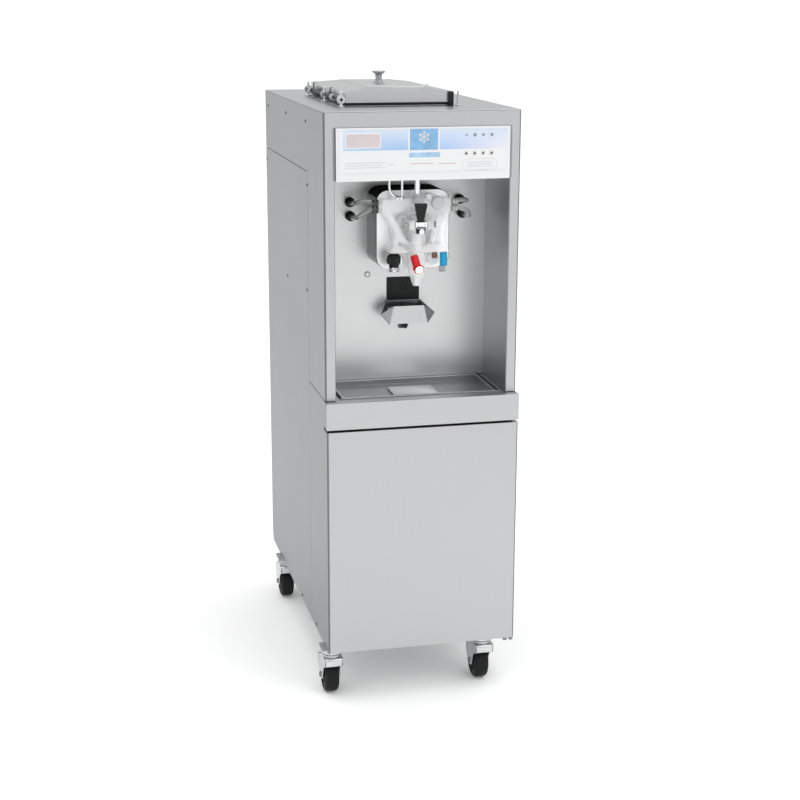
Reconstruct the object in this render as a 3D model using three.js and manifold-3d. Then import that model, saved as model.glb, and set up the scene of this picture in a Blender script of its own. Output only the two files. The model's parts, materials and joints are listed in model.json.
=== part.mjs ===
// Floor-standing soft-serve and shake freezer on swivel casters.
// Millimetres. +Z up, the front faces -Y, the floor is Z = 0, and the origin is under the middle of the cabinet.

import * as THREE from 'three';
import { mergeVertices } from 'three/addons/utils/BufferGeometryUtils.js';
import { ConvexGeometry } from 'three/addons/geometries/ConvexGeometry.js';
import Module from 'manifold-3d';

const wasm = await Module();
wasm.setup();

// ---------------------------------------------------------------- driving dimensions

const GAP = 0.3; // clearance between pieces that rest on each other
const SHEET = 2; // panel sheet thickness

// cabinet
const HALF_W = 237.5;
const CABINET_BOTTOM = 130;
const CABINET_TOP = 1450;
const FRAME_FRONT = -415.5;
const DOOR_FRONT = -439.5;
const REAR = 439.5;
const INNER_HALF_W = HALF_W - SHEET;

// dispensing bay
const POST_WIDTH = 26;
const BAY_HALF_W = HALF_W - POST_WIDTH - 0.5;
const BAY_BACK = -215.5;
const BAY_FLOOR = 767;
const BAY_CEILING = 1290;
const HEADER_BOTTOM = 1413;

// control fascia
const FASCIA_FRONT = -421.5;
const FASCIA_HALF_W = 208.5;
const FASCIA_LEDGE = 17;
const KEY_Z = 1350.5;
const KEY_X = [101.5, 122, 142.5, 163];
const KEY_R = 4.5;

// front band and service door
const BAND_HALF_W = 239;
const BAND_BOTTOM = 702;
const BAND_REACH = 51;
const DOOR_TOP = 696;
const DOOR_DEPTH = 42.5;
const DOOR_HALF_W = 238.5;
const HINGE_X = 231.5;
const HINGE_Y = -404;
const DOOR_CORNER_R = 7;
const SIDE_PANEL_FRONT = -394.5;
const SIDE_SEAM_Y = -205.5;
const SIDE_SEAM_Z = 1293;
const SEAM = 1.5;

// freezing cylinder and dispensing head
const BARREL_Z = 1161;
const BARREL_R = 57;
const BARREL_BORE_R = 52;
const JACKET_R = 74;
const BARREL_BACK = 60;
const HOUSING_HALF_W = 91;
const HOUSING_BOTTOM = 1065;
const HOUSING_TOP = 1256.5;
const HOUSING_FRONT = -316.5;
const HOUSING_CORNER_R = 30;
const SPOUT_Y = -357.5;
const NOZZLE_TIP = 1029;
const COLUMN_TOP = 1192;
const COLUMN_R = 21;
const VALVE_BORE_R = 11.4;
const HANDLE_PIVOT_Y = -393;
const HANDLE_PIVOT_Z = 1182;
const ARM_TOP = 1238;

// hopper and its lid
const LID = { x0: -153.5, x1: 111.5, y0: -264.5, y1: 194.5 };
const LID_PLATEAU = { x0: -91.5, x1: 48.5, y0: -212.5, y1: 133.5 };
const LID_RIM_BOTTOM = 1459;
const LID_RIM_TOP = 1484;
const LID_TOP = 1492;
const HOPPER_INSET = 11;
const HOPPER_BOTTOM = 1296;
const LID_ROD_X = -168;
const LID_ROD_Z = 1468;
const LID_ROD_R = 4;

// casters
const WHEEL_R = 45;
const WHEEL_HALF_WIDTH = 18;
const CASTER_TRAIL = 26;
const CASTER_TOP = 122;
const CASTERS = {
  front_left: [-222, -390],
  front_right: [168, -390],
  rear_left: [-222, 282],
  rear_right: [168, 282],
};

// ---------------------------------------------------------------- materials

function finish(color, roughness, metalness, opacity = 1) {
  return new THREE.MeshStandardMaterial({
    color, roughness, metalness, opacity, transparent: opacity < 1,
  });
}

const STAINLESS = finish(0xc6c8ca, 0.38, 0.9);
const STAINLESS_DARK = finish(0x8d9092, 0.32, 0.9);
const POLISHED_STEEL = finish(0xd9dbdd, 0.15, 1);
const GALVANISED = finish(0xa9adb0, 0.5, 0.8);
const WHITE_PLASTIC = finish(0xf2f4f6, 0.45, 0);
const OVERLAY_BLUE = finish(0xb9cde6, 0.35, 0);
const DISPLAY_TINT = finish(0xd8c4c4, 0.15, 0);
const BLACK_PLASTIC = finish(0x1a1b1c, 0.45, 0);
const BLACK_RUBBER = finish(0x111213, 0.75, 0);
const CLEAR_PLASTIC = finish(0xe6ebee, 0.08, 0, 0.4);
const RED_CAP = finish(0xd7212c, 0.35, 0);
const TAN_CAP = finish(0x7d6450, 0.4, 0);
const BLUE_CAP = finish(0x1d9bd6, 0.35, 0);
const FOAM_JACKET = finish(0x3a3d40, 0.9, 0);
const BLACK_PAINT = finish(0x202224, 0.4, 0.3);
const COPPER_FINS = finish(0xb8bcc0, 0.5, 0.9);

// ---------------------------------------------------------------- solid helpers

const SNAP = 0.001; // grid that corners are rounded to, so that faces meant to be flush are exactly flush

function toSolid(geometry) {
  const bare = geometry.index ? geometry.toNonIndexed() : geometry.clone();
  bare.deleteAttribute('normal');
  bare.deleteAttribute('uv');
  const snapped = bare.attributes.position.array.map((value) => Math.round(value / SNAP) * SNAP);
  bare.setAttribute('position', new THREE.BufferAttribute(new Float32Array(snapped), 3));
  const merged = mergeVertices(bare, SNAP / 10);
  return new wasm.Manifold(new wasm.Mesh({
    numProp: 3,
    vertProperties: merged.attributes.position.array,
    triVerts: new Uint32Array(merged.index.array),
  }));
}

function toGeometry(solid) {
  const mesh = solid.getMesh();
  const geometry = new THREE.BufferGeometry();
  geometry.setAttribute('position', new THREE.BufferAttribute(new Float32Array(mesh.vertProperties), 3));
  geometry.setIndex(new THREE.BufferAttribute(new Uint32Array(mesh.triVerts), 1));
  geometry.computeVertexNormals();
  return geometry;
}

const join = (...solids) => solids.reduce((sum, solid) => sum.add(solid));
const cut = (solid, ...tools) => tools.reduce((rest, tool) => rest.subtract(tool), solid);

// An axis-aligned block between two corners.
function block(x0, x1, y0, y1, z0, z1) {
  const geometry = new THREE.BoxGeometry(x1 - x0, y1 - y0, z1 - z0);
  geometry.translate((x0 + x1) / 2, (y0 + y1) / 2, (z0 + z1) / 2);
  return toSolid(geometry);
}

// The convex solid around a set of points.
function hull(points) {
  return toSolid(new ConvexGeometry(points.map((point) => new THREE.Vector3(...point))));
}

// A cylinder of radius r from a to b along the axis letter, centred on the other two coordinates.
function rod(axis, centre, r, a, b, sides = 24, rEnd = r) {
  const geometry = new THREE.CylinderGeometry(rEnd, r, b - a, sides);
  geometry.translate(0, (a + b) / 2, 0);
  if (axis === 'z') geometry.rotateX(Math.PI / 2);
  if (axis === 'x') geometry.rotateZ(-Math.PI / 2);
  const [u, v] = centre;
  if (axis === 'x') geometry.translate(0, u, v);
  if (axis === 'y') geometry.translate(u, 0, v);
  if (axis === 'z') geometry.translate(u, v, 0);
  return toSolid(geometry);
}

// A turned solid: profile points are [radius, height along the axis], from one end on the axis to the other.
function turned(axis, centre, profile, sides = 24) {
  const points = profile.map(([radius, height]) => new THREE.Vector2(radius, height));
  const geometry = new THREE.LatheGeometry(points, sides);
  if (axis === 'z') geometry.rotateX(Math.PI / 2);
  if (axis === 'x') geometry.rotateZ(-Math.PI / 2);
  const [u, v] = centre;
  if (axis === 'x') geometry.translate(0, u, v);
  if (axis === 'y') geometry.translate(u, 0, v);
  if (axis === 'z') geometry.translate(u, v, 0);
  return toSolid(geometry);
}

// A flat outline in the YZ plane, extruded from x0 to x1.
function sidePlate(outline, x0, x1) {
  const shape = new THREE.Shape(outline.map(([y, z]) => new THREE.Vector2(y, z)));
  const geometry = new THREE.ExtrudeGeometry(shape, { depth: x1 - x0, bevelEnabled: false });
  geometry.applyMatrix4(new THREE.Matrix4().set(0, 0, 1, x0, 1, 0, 0, 0, 0, 1, 0, 0, 0, 0, 0, 1));
  return toSolid(geometry);
}

// An outline in the XZ plane, extruded from y0 (front) back to y1.
function frontPrism(shape, y0, y1, curveSegments = 6) {
  const geometry = new THREE.ExtrudeGeometry(shape, { depth: y1 - y0, bevelEnabled: false, curveSegments });
  geometry.rotateX(Math.PI / 2);
  geometry.translate(0, y1, 0);
  return toSolid(geometry);
}

// An outline in the XY plane, extruded from z0 up to z1.
function planPrism(shape, z0, z1, curveSegments = 6) {
  const geometry = new THREE.ExtrudeGeometry(shape, { depth: z1 - z0, bevelEnabled: false, curveSegments });
  geometry.translate(0, 0, z0);
  return toSolid(geometry);
}

function roundedRect(x0, x1, z0, z1, r) {
  const shape = new THREE.Shape();
  shape.moveTo(x0 + r, z0);
  shape.lineTo(x1 - r, z0);
  shape.absarc(x1 - r, z0 + r, r, -Math.PI / 2, 0, false);
  shape.lineTo(x1, z1 - r);
  shape.absarc(x1 - r, z1 - r, r, 0, Math.PI / 2, false);
  shape.lineTo(x0 + r, z1);
  shape.absarc(x0 + r, z1 - r, r, Math.PI / 2, Math.PI, false);
  shape.lineTo(x0, z0 + r);
  shape.absarc(x0 + r, z0 + r, r, Math.PI, Math.PI * 1.5, false);
  return shape;
}

// A round bar swept along a smooth curve through the points.
function sweptBar(points, r, steps, sides = 10) {
  const path = new THREE.CatmullRomCurve3(points.map((point) => new THREE.Vector3(...point)));
  const section = new THREE.Shape();
  section.absarc(0, 0, r, 0, Math.PI * 2, false);
  const geometry = new THREE.ExtrudeGeometry(section, {
    steps, extrudePath: path, curveSegments: sides / 2, bevelEnabled: false,
  });
  return toSolid(geometry);
}

// A turned solid whose axis starts at one point and heads for another.
function turnedFrom(start, end, profile, sides = 16) {
  const a = new THREE.Vector3(...start);
  const heading = new THREE.Vector3(...end).sub(a).normalize();
  const geometry = new THREE.LatheGeometry(profile.map(([radius, along]) => new THREE.Vector2(radius, along)), sides);
  geometry.applyQuaternion(new THREE.Quaternion().setFromUnitVectors(new THREE.Vector3(0, 1, 0), heading));
  geometry.translate(...a);
  return toSolid(geometry);
}

const model = new THREE.Group();
model.name = 'shake_freezer';

function addPart(name, solid, material, parent = model) {
  const mesh = new THREE.Mesh(toGeometry(solid), material);
  mesh.name = name;
  parent.add(mesh);
  return mesh;
}

// ---------------------------------------------------------------- cabinet

// Base pan with turned-up edges, a pad and kingpin for each caster, and the lower door hinge tongue.
function basePan() {
  const half = INNER_HALF_W - GAP;
  const front = SIDE_PANEL_FRONT - 0.5;
  const back = REAR - SHEET - GAP;
  const panThickness = 3;
  const edgeHeight = 26;
  const tongueBottom = 125;
  const tongueTop = 128.5;
  const padHalf = 28;
  const padBottom = CASTER_TOP + 1;
  const kingpinR = 6;
  const kingpinBottom = 111;
  let pan = cut(
    block(-half, half, front, back, CABINET_BOTTOM, CABINET_BOTTOM + edgeHeight),
    block(-half + SHEET, half - SHEET, front + SHEET, back - SHEET,
      CABINET_BOTTOM + panThickness, CABINET_BOTTOM + edgeHeight + 1),
  );
  for (const [x, y] of Object.values(CASTERS)) {
    pan = join(
      pan,
      block(x - padHalf, x + padHalf, y - padHalf, y + padHalf, padBottom, CABINET_BOTTOM - GAP),
      block(Math.max(x - padHalf, -half) + 1, x + padHalf - 1, Math.max(y - padHalf, front) + 1, y + padHalf - 1,
        CABINET_BOTTOM - 1, CABINET_BOTTOM + 1),
      rod('z', [x, y], kingpinR, kingpinBottom, padBottom + 1, 16),
    );
  }
  const tongue = block(HINGE_X - 14, HINGE_X + 6, HINGE_Y - 8, front + 30, tongueBottom, tongueTop);
  const riser = block(HINGE_X - 14, HINGE_X + 3, front, front + 30, tongueTop - 1, CABINET_BOTTOM + 1);
  const hingePin = rod('z', [HINGE_X, HINGE_Y], 3, tongueTop - 1, CABINET_BOTTOM + 12, 16);
  return join(pan, tongue, riser, hingePin);
}

// A removable side panel, notched around the upper shell, with its rear bottom corner clipped and a pressed seam
// that carries the shell's side seam down to the floor of the cabinet.
function sidePanel(side) {
  const clip = 12;
  const seamDepth = 1.2;
  const outline = [
    [SIDE_PANEL_FRONT, CABINET_BOTTOM],
    [REAR - clip, CABINET_BOTTOM],
    [REAR, CABINET_BOTTOM + 3 * clip],
    [REAR, SIDE_SEAM_Z - SEAM],
    [SIDE_SEAM_Y + SEAM, SIDE_SEAM_Z - SEAM],
    [SIDE_SEAM_Y + SEAM, BAY_FLOOR],
    [SIDE_PANEL_FRONT, BAY_FLOOR],
  ];
  const xRange = (from, to) => [side * from, side * to].sort((a, b) => a - b);
  return cut(
    sidePlate(outline, ...xRange(INNER_HALF_W, HALF_W)),
    block(...xRange(HALF_W - seamDepth, HALF_W + 1), SIDE_SEAM_Y - GAP, SIDE_SEAM_Y + SEAM - GAP,
      CABINET_BOTTOM - 1, BAY_FLOOR + 1),
  );
}

// Rear panel with a field of louvre slots low down and a smaller one above.
function rearPanel() {
  const half = INNER_HALF_W - GAP;
  let panel = block(-half, half, REAR - SHEET, REAR, CABINET_BOTTOM + 4, CABINET_TOP - SHEET - GAP);
  const slotHeight = 8;
  const fields = [
    { rows: 8, from: 200, pitch: 30, halfWidth: 150 },
    { rows: 4, from: 1000, pitch: 30, halfWidth: 110 },
  ];
  for (const { rows, from, pitch, halfWidth } of fields) {
    for (let row = 0; row < rows; row += 1) {
      const z = from + row * pitch;
      panel = cut(panel, block(-halfWidth, halfWidth, REAR - 5, REAR + 5, z, z + slotHeight));
    }
  }
  return panel;
}

// Upper shell: side bands, front side pieces, the two front posts and the header strip, as one folded sheet.
// It is cut from one block, so its walls share no coplanar joints.
function upperShell() {
  const bottom = BAY_FLOOR + 1.5;
  const top = CABINET_TOP - SHEET - GAP;
  const postInside = HALF_W - POST_WIDTH;
  return cut(
    block(-HALF_W, HALF_W, FRAME_FRONT, REAR, bottom, top),
    block(-INNER_HALF_W, INNER_HALF_W, FRAME_FRONT + SHEET, REAR + 1, bottom - 1, top + 1),
    block(-postInside, postInside, FRAME_FRONT - 1, FRAME_FRONT + 2 * SHEET, bottom - 1, HEADER_BOTTOM),
    block(-HALF_W - 1, HALF_W + 1, SIDE_SEAM_Y, REAR + 1, bottom - 1, SIDE_SEAM_Z),
  );
}

const HOPPER = {
  x0: LID.x0 + HOPPER_INSET,
  x1: LID.x1 - HOPPER_INSET,
  y0: LID.y0 + HOPPER_INSET,
  y1: LID.y1 - HOPPER_INSET,
};

function topDeck() {
  const deck = block(-HALF_W, HALF_W, FRAME_FRONT, REAR, CABINET_TOP - SHEET, CABINET_TOP);
  const opening = block(HOPPER.x0 - GAP, HOPPER.x1 + GAP, HOPPER.y0 - GAP, HOPPER.y1 + GAP,
    CABINET_TOP - 10, CABINET_TOP + 10);
  return cut(deck, opening);
}

const SYRUP_PORTS = [
  [-135.5, 1217],
  [-134.5, 1183],
  [142.5, 1218],
  [149.5, 1183],
];
const PORT_STEM_R = 6;

// Bay liner: splash panel, two side walls and a ceiling, open to the front and above the tray.
function bayLiner() {
  const wall = 1.5;
  const front = FRAME_FRONT + SHEET + GAP;
  const back = BAY_BACK + wall;
  const bottom = BAY_FLOOR + 1.5;
  const ceilingFront = FASCIA_FRONT + 37;
  const outside = BAY_HALF_W + wall;
  let liner = cut(
    block(-outside, outside, front, back, bottom, BAY_CEILING + wall),
    block(-BAY_HALF_W, BAY_HALF_W, front - 1, BAY_BACK, bottom - 1, BAY_CEILING),
    block(-outside - 1, outside + 1, front - 1, ceilingFront, BAY_CEILING - 1, BAY_CEILING + 5),
    rod('y', [0, BARREL_Z], JACKET_R + 1, BAY_BACK - 5, back + 5, 32),
    block(-80, 16, SPOUT_Y - 12, SPOUT_Y + 12, BAY_CEILING - 5, BAY_CEILING + 5),
  );
  for (const [x, z] of SYRUP_PORTS) {
    liner = cut(liner, rod('y', [x, z], PORT_STEM_R + 0.5, BAY_BACK - 5, back + 5, 12));
  }
  return liner;
}

const TRAY = { halfWidth: 198, front: -401, back: -219, rim: 10 };

// Front band below the bay: face, side returns, lower lip, and the shelf that the drip tray drops into.
function trayApron() {
  const returnBack = DOOR_FRONT + BAND_REACH;
  const returnInside = HALF_W + GAP;
  const top = BAY_FLOOR;
  const back = BAY_BACK + 1;
  const shelfHalf = INNER_HALF_W - GAP;
  const lipBack = DOOR_FRONT + 20;
  const wellHalf = TRAY.halfWidth - TRAY.rim + GAP * 2;
  const wellFront = TRAY.front + TRAY.rim - GAP * 2;
  const wellBack = TRAY.back - TRAY.rim + GAP * 2;
  const besideCabinet = [-1, 1].flatMap((side) => {
    const slot = [side * shelfHalf, side * returnInside].sort((a, b) => a - b);
    const beyond = [side * (returnInside - 0.5), side * (BAND_HALF_W + 1)].sort((a, b) => a - b);
    return [
      block(...slot, SIDE_PANEL_FRONT - GAP, back + 1, BAND_BOTTOM - 2, top + 1),
      block(...beyond, returnBack, back + 2, BAND_BOTTOM - 3, top + 2),
    ];
  });
  return cut(
    block(-BAND_HALF_W, BAND_HALF_W, DOOR_FRONT, back, BAND_BOTTOM, top),
    block(1 - HALF_W, HALF_W - 1, DOOR_FRONT + SHEET, back + 3, BAND_BOTTOM + SHEET, top - SHEET),
    block(-BAND_HALF_W - 1, BAND_HALF_W + 1, lipBack, back + 4, BAND_BOTTOM - 1, BAND_BOTTOM + SHEET + 0.5),
    ...besideCabinet,
    block(-wellHalf, wellHalf, wellFront, wellBack, top - 10, top + 10),
  );
}

addPart('base_pan', basePan(), GALVANISED);
addPart('left_side_panel', sidePanel(-1), STAINLESS);
addPart('right_side_panel', sidePanel(1), STAINLESS);
addPart('rear_panel', rearPanel(), GALVANISED);
addPart('upper_shell', upperShell(), STAINLESS);
addPart('top_deck', topDeck(), STAINLESS);
addPart('bay_liner', bayLiner(), STAINLESS);
addPart('tray_apron', trayApron(), STAINLESS);

// ---------------------------------------------------------------- control fascia

const DISPLAY = { x0: -185, x1: -105, z0: 1368, z1: 1399 };
const FASCIA_TOP = HEADER_BOTTOM - GAP;
const FASCIA_BOTTOM = BAY_CEILING + 0.5;
const OVERLAY_FRONT = FASCIA_FRONT - 0.8;

// Hollow moulding, open at the back, with a thick lower ledge and holes for the display and the keys.
function fasciaPanel() {
  const wall = 3;
  const back = FASCIA_FRONT + 35;
  let shell = cut(
    block(-FASCIA_HALF_W, FASCIA_HALF_W, FASCIA_FRONT, back, FASCIA_BOTTOM, FASCIA_TOP),
    block(-FASCIA_HALF_W + wall, FASCIA_HALF_W - wall, FASCIA_FRONT + wall, back + 1,
      FASCIA_BOTTOM + wall, FASCIA_TOP - wall),
    block(DISPLAY.x0, DISPLAY.x1, FASCIA_FRONT - 1, FASCIA_FRONT + wall + 1, DISPLAY.z0, DISPLAY.z1),
  );
  for (const x of KEY_X) {
    shell = cut(shell, rod('y', [x, KEY_Z], KEY_R + 0.5, FASCIA_FRONT - 1, FASCIA_FRONT + wall + 1, 12));
  }
  return shell;
}

function fasciaOverlay() {
  const margin = 6;
  let film = block(-FASCIA_HALF_W + margin, FASCIA_HALF_W - margin, OVERLAY_FRONT, FASCIA_FRONT - GAP,
    FASCIA_BOTTOM + FASCIA_LEDGE, FASCIA_TOP - margin);
  film = cut(film, block(DISPLAY.x0, DISPLAY.x1, OVERLAY_FRONT - 1, FASCIA_FRONT + 1, DISPLAY.z0, DISPLAY.z1));
  for (const x of KEY_X) {
    film = cut(film, rod('y', [x, KEY_Z], KEY_R + 0.5, OVERLAY_FRONT - 1, FASCIA_FRONT + 1, 12));
  }
  return film;
}

const keyBody = (x) => join(
  rod('y', [x, KEY_Z], KEY_R, OVERLAY_FRONT - 1.2, FASCIA_FRONT + 5, 12),
  rod('y', [x, KEY_Z], KEY_R + 2, FASCIA_FRONT + 4.3, FASCIA_FRONT + 6, 12),
);

addPart('fascia_panel', fasciaPanel(), WHITE_PLASTIC);
addPart('fascia_overlay', fasciaOverlay(), OVERLAY_BLUE);
addPart('display_window', block(
  DISPLAY.x0 + GAP, DISPLAY.x1 - GAP, FASCIA_FRONT - 0.4, FASCIA_FRONT + 2.5,
  DISPLAY.z0 + GAP, DISPLAY.z1 - GAP,
), DISPLAY_TINT);
KEY_X.forEach((x, index) => addPart(`control_key_${index + 1}`, keyBody(x), BLACK_PLASTIC));

// ---------------------------------------------------------------- drip tray

const TRAY_LIP = 2;
const TRAY_FLOOR = BAY_FLOOR - 11;

function dripTray() {
  const inner = TRAY.halfWidth - TRAY.rim;
  const wall = 1.5;
  const lipBottom = BAY_FLOOR + GAP;
  const lip = block(-TRAY.halfWidth, TRAY.halfWidth, TRAY.front, TRAY.back, lipBottom, lipBottom + TRAY_LIP);
  const basin = block(-inner, inner, TRAY.front + TRAY.rim, TRAY.back - TRAY.rim, TRAY_FLOOR - wall, lipBottom + 1);
  const hollow = block(-inner + wall, inner - wall, TRAY.front + TRAY.rim + wall, TRAY.back - TRAY.rim - wall,
    TRAY_FLOOR, lipBottom + 10);
  return cut(join(lip, basin), hollow);
}

const GRID = { halfWidth: 55, front: -388, back: -280, thickness: 3 };

// Perforated splash grid that rests on the tray floor on its turned-down edges.
function splashGrid() {
  const bottom = TRAY_FLOOR + GAP;
  const top = bottom + 6;
  let grid = cut(
    block(-GRID.halfWidth, GRID.halfWidth, GRID.front, GRID.back, bottom, top),
    block(-GRID.halfWidth + GRID.thickness, GRID.halfWidth - GRID.thickness,
      GRID.front + GRID.thickness, GRID.back - GRID.thickness, bottom - 1, top - 2),
  );
  const slotCount = 5;
  const pitch = 16;
  for (let index = 0; index < slotCount; index += 1) {
    const x = (index - (slotCount - 1) / 2) * pitch;
    grid = cut(grid, block(x - 2.5, x + 2.5, GRID.front + 14, GRID.back - 14, top - 5, top + 1));
  }
  return grid;
}

addPart('drip_tray', dripTray(), STAINLESS_DARK);
addPart('splash_grid', splashGrid(), STAINLESS);

// ---------------------------------------------------------------- freezing cylinder, beater and gear motor

function freezerHousing() {
  const wall = 4;
  const back = BAY_BACK - GAP;
  const outer = frontPrism(
    roundedRect(-HOUSING_HALF_W, HOUSING_HALF_W, HOUSING_BOTTOM, HOUSING_TOP, HOUSING_CORNER_R),
    HOUSING_FRONT, back,
  );
  const inner = frontPrism(
    roundedRect(-HOUSING_HALF_W + wall, HOUSING_HALF_W - wall, HOUSING_BOTTOM + wall, HOUSING_TOP - wall,
      HOUSING_CORNER_R - wall),
    HOUSING_FRONT + wall, back + 1,
  );
  return cut(outer, inner, rod('y', [0, BARREL_Z], BARREL_R + GAP, HOUSING_FRONT - 1, back, 32));
}

function freezingCylinder() {
  const mouth = HOUSING_FRONT;
  const shaftHoleR = 10;
  return cut(
    join(
      rod('y', [0, BARREL_Z], BARREL_R, mouth, BARREL_BACK, 32),
      rod('y', [0, BARREL_Z], JACKET_R, BAY_BACK - 1, BARREL_BACK, 32),
    ),
    rod('y', [0, BARREL_Z], BARREL_BORE_R, mouth - 1, BARREL_BACK - 8, 32),
    rod('y', [0, BARREL_Z], shaftHoleR, BARREL_BACK - 20, BARREL_BACK + 5, 16),
  );
}

const BEATER_SHAFT_BACK = 84;

// Beater: a through shaft, two spoked rings and three scraper bars that sweep the bore.
function beater() {
  const front = HOUSING_FRONT + 8;
  const back = BARREL_BACK - 16;
  const barR = BARREL_BORE_R - 8;
  const barHalf = 5;
  let body = join(
    rod('y', [0, BARREL_Z], 8, front, BEATER_SHAFT_BACK, 16),
    rod('y', [0, BARREL_Z], barR - 2, front, front + 8, 24),
    rod('y', [0, BARREL_Z], barR - 2, back - 8, back, 24),
  );
  for (let index = 0; index < 3; index += 1) {
    const angle = (index * Math.PI * 2) / 3;
    const x = Math.cos(angle) * barR;
    const z = BARREL_Z + Math.sin(angle) * barR;
    body = join(body, block(x - barHalf, x + barHalf, front, back, z - barHalf, z + barHalf));
  }
  return body;
}

function gearMotor() {
  const front = BARREL_BACK + 4;
  return cut(
    join(
      block(-70, 70, front, front + 90, BARREL_Z - 80, BARREL_Z + 70),
      rod('y', [0, BARREL_Z - 10], 62, front + 80, front + 250, 24),
    ),
    rod('y', [0, BARREL_Z], 10, front - 1, BEATER_SHAFT_BACK + 3, 16),
  );
}

addPart('freezer_housing', freezerHousing(), STAINLESS);
addPart('freezing_cylinder', freezingCylinder(), FOAM_JACKET);
addPart('beater', beater(), POLISHED_STEEL);
addPart('gear_motor', gearMotor(), BLACK_PAINT);

// ---------------------------------------------------------------- dispensing head

const HEAD_BACK = HOUSING_FRONT - GAP;
const HEAD_PLATE = 14;
const WING_Z = 1112;
const EAR_HALF = 30;
const EAR_INNER = 16;

// Front outline of the clear head: wide shoulders that taper to the spout.
function headOutline() {
  const shape = new THREE.Shape();
  const right = [
    [16, 1072], [44, 1084], [52, 1120], [62, 1168], [84, 1206], [90, 1222], [84, ARM_TOP],
  ];
  shape.moveTo(right[0][0], right[0][1]);
  for (const [x, z] of right.slice(1)) shape.lineTo(x, z);
  for (const [x, z] of [...right].reverse()) shape.lineTo(-x, z);
  return shape;
}

const PLUGS = {
  left: { top: [-57, -361, WING_Z - GAP], bottom: [-57, -361, 1072], material: BLACK_PLASTIC },
  centre: { top: [-16, -391, 1109], bottom: [-8, -405, 1074], material: RED_CAP },
  right_inner: { top: [46, -350, WING_Z - GAP], bottom: [46, -350, 1088], material: TAN_CAP },
  right_outer: { top: [64, -366, WING_Z - GAP], bottom: [64, -366, 1074], material: BLUE_CAP },
};

function dispensingHead() {
  const plate = frontPrism(headOutline(), HEAD_BACK - HEAD_PLATE, HEAD_BACK);
  const column = turned('z', [0, SPOUT_Y], [
    [0, NOZZLE_TIP], [9.5, NOZZLE_TIP], [COLUMN_R, 1062], [COLUMN_R, COLUMN_TOP], [0, COLUMN_TOP],
  ], 24);
  const web = block(-COLUMN_R, COLUMN_R, SPOUT_Y, HEAD_BACK - 2, 1074, COLUMN_TOP);
  const arm = block(-84, 84, -352, HEAD_BACK - 2, 1206, ARM_TOP);
  const wings = hull([
    [-74, -380, WING_Z], [-40, -380, WING_Z], [-74, -330, WING_Z], [74, -330, WING_Z], [78, -380, WING_Z],
    [40, -380, WING_Z], [-60, -372, 1130], [60, -372, 1130], [-60, -330, 1132], [60, -330, 1132],
  ]);
  const ears = [-1, 1].map((side) => {
    const inner = side * EAR_INNER;
    const outer = side * EAR_HALF;
    return block(Math.min(inner, outer), Math.max(inner, outer),
      HANDLE_PIVOT_Y - 9, -330, HANDLE_PIVOT_Z - 11, COLUMN_TOP);
  });
  const body = join(plate, column, web, arm, wings, ...ears);
  return cut(
    body,
    rod('z', [0, SPOUT_Y], VALVE_BORE_R, 1060, COLUMN_TOP + 60, 24),
    rod('z', [0, SPOUT_Y], 7, NOZZLE_TIP - 1, 1061, 16),
    rod('x', [HANDLE_PIVOT_Y, HANDLE_PIVOT_Z], 3.5, -EAR_HALF - 2, EAR_HALF + 2, 16),
    block(-EAR_INNER, EAR_INNER, -400, -330, COLUMN_TOP, ARM_TOP + 1),
    block(-EAR_INNER, EAR_INNER, -410, SPOUT_Y - 14, HANDLE_PIVOT_Z - 22, ARM_TOP + 1),
  );
}

// Draw handle: a tapered grip above the pivot, a boss on the pin, a lifting fork and an adjusting screw.
function drawHandle() {
  const half = EAR_INNER - 1.5;
  const boss = rod('x', [HANDLE_PIVOT_Y, HANDLE_PIVOT_Z], 8, -half, half, 20);
  const gripTop = HANDLE_PIVOT_Z + 50;
  const gripFront = HANDLE_PIVOT_Y - 5;
  const gripBack = HANDLE_PIVOT_Y + 6;
  const grip = hull([-1, 1].flatMap((side) => [
    [side * 7, gripFront, HANDLE_PIVOT_Z], [side * 7, gripBack, HANDLE_PIVOT_Z],
    [side * 15, gripFront - 3, gripTop], [side * 15, gripBack, gripTop],
  ]));
  const screw = rod('y', [0, HANDLE_PIVOT_Z - 15], 7, HANDLE_PIVOT_Y - 14, HANDLE_PIVOT_Y + 4, 16);
  const screwBracket = block(-9, 9, HANDLE_PIVOT_Y - 6, HANDLE_PIVOT_Y + 4, HANDLE_PIVOT_Z - 20, HANDLE_PIVOT_Z);
  return cut(
    join(boss, grip, screwBracket, screw),
    rod('x', [HANDLE_PIVOT_Y, HANDLE_PIVOT_Z], 3.3, -EAR_HALF, EAR_HALF, 16),
  );
}

const SHAFT_BORE_R = 5;

function drawValve() {
  return cut(
    join(
      rod('z', [0, SPOUT_Y], VALVE_BORE_R - 0.4, 1064, COLUMN_TOP + 4, 24),
      rod('z', [0, SPOUT_Y], VALVE_BORE_R + 2, COLUMN_TOP + 1, COLUMN_TOP + 9, 24),
    ),
    rod('z', [0, SPOUT_Y], SHAFT_BORE_R, 1060, COLUMN_TOP + 12, 16),
  );
}

const MOTOR_BOTTOM = 1302;

function spinnerShaft() {
  return turned('z', [0, SPOUT_Y], [
    [0, 1036], [5.4, 1037], [5.4, 1042], [3.6, 1044], [3.6, 1228], [12, 1230], [12, 1244], [7.5, 1248],
    [7.5, MOTOR_BOTTOM + 22], [0, MOTOR_BOTTOM + 22],
  ], 20);
}

function spinnerMotor() {
  return cut(
    join(
      rod('z', [0, SPOUT_Y + 8], 31, MOTOR_BOTTOM, MOTOR_BOTTOM + 95, 24),
      block(-28, 28, SPOUT_Y - 22, SPOUT_Y + 44, MOTOR_BOTTOM, MOTOR_BOTTOM + 8),
    ),
    rod('z', [0, SPOUT_Y], 8.2, MOTOR_BOTTOM - 1, MOTOR_BOTTOM + 24, 20),
  );
}

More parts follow.
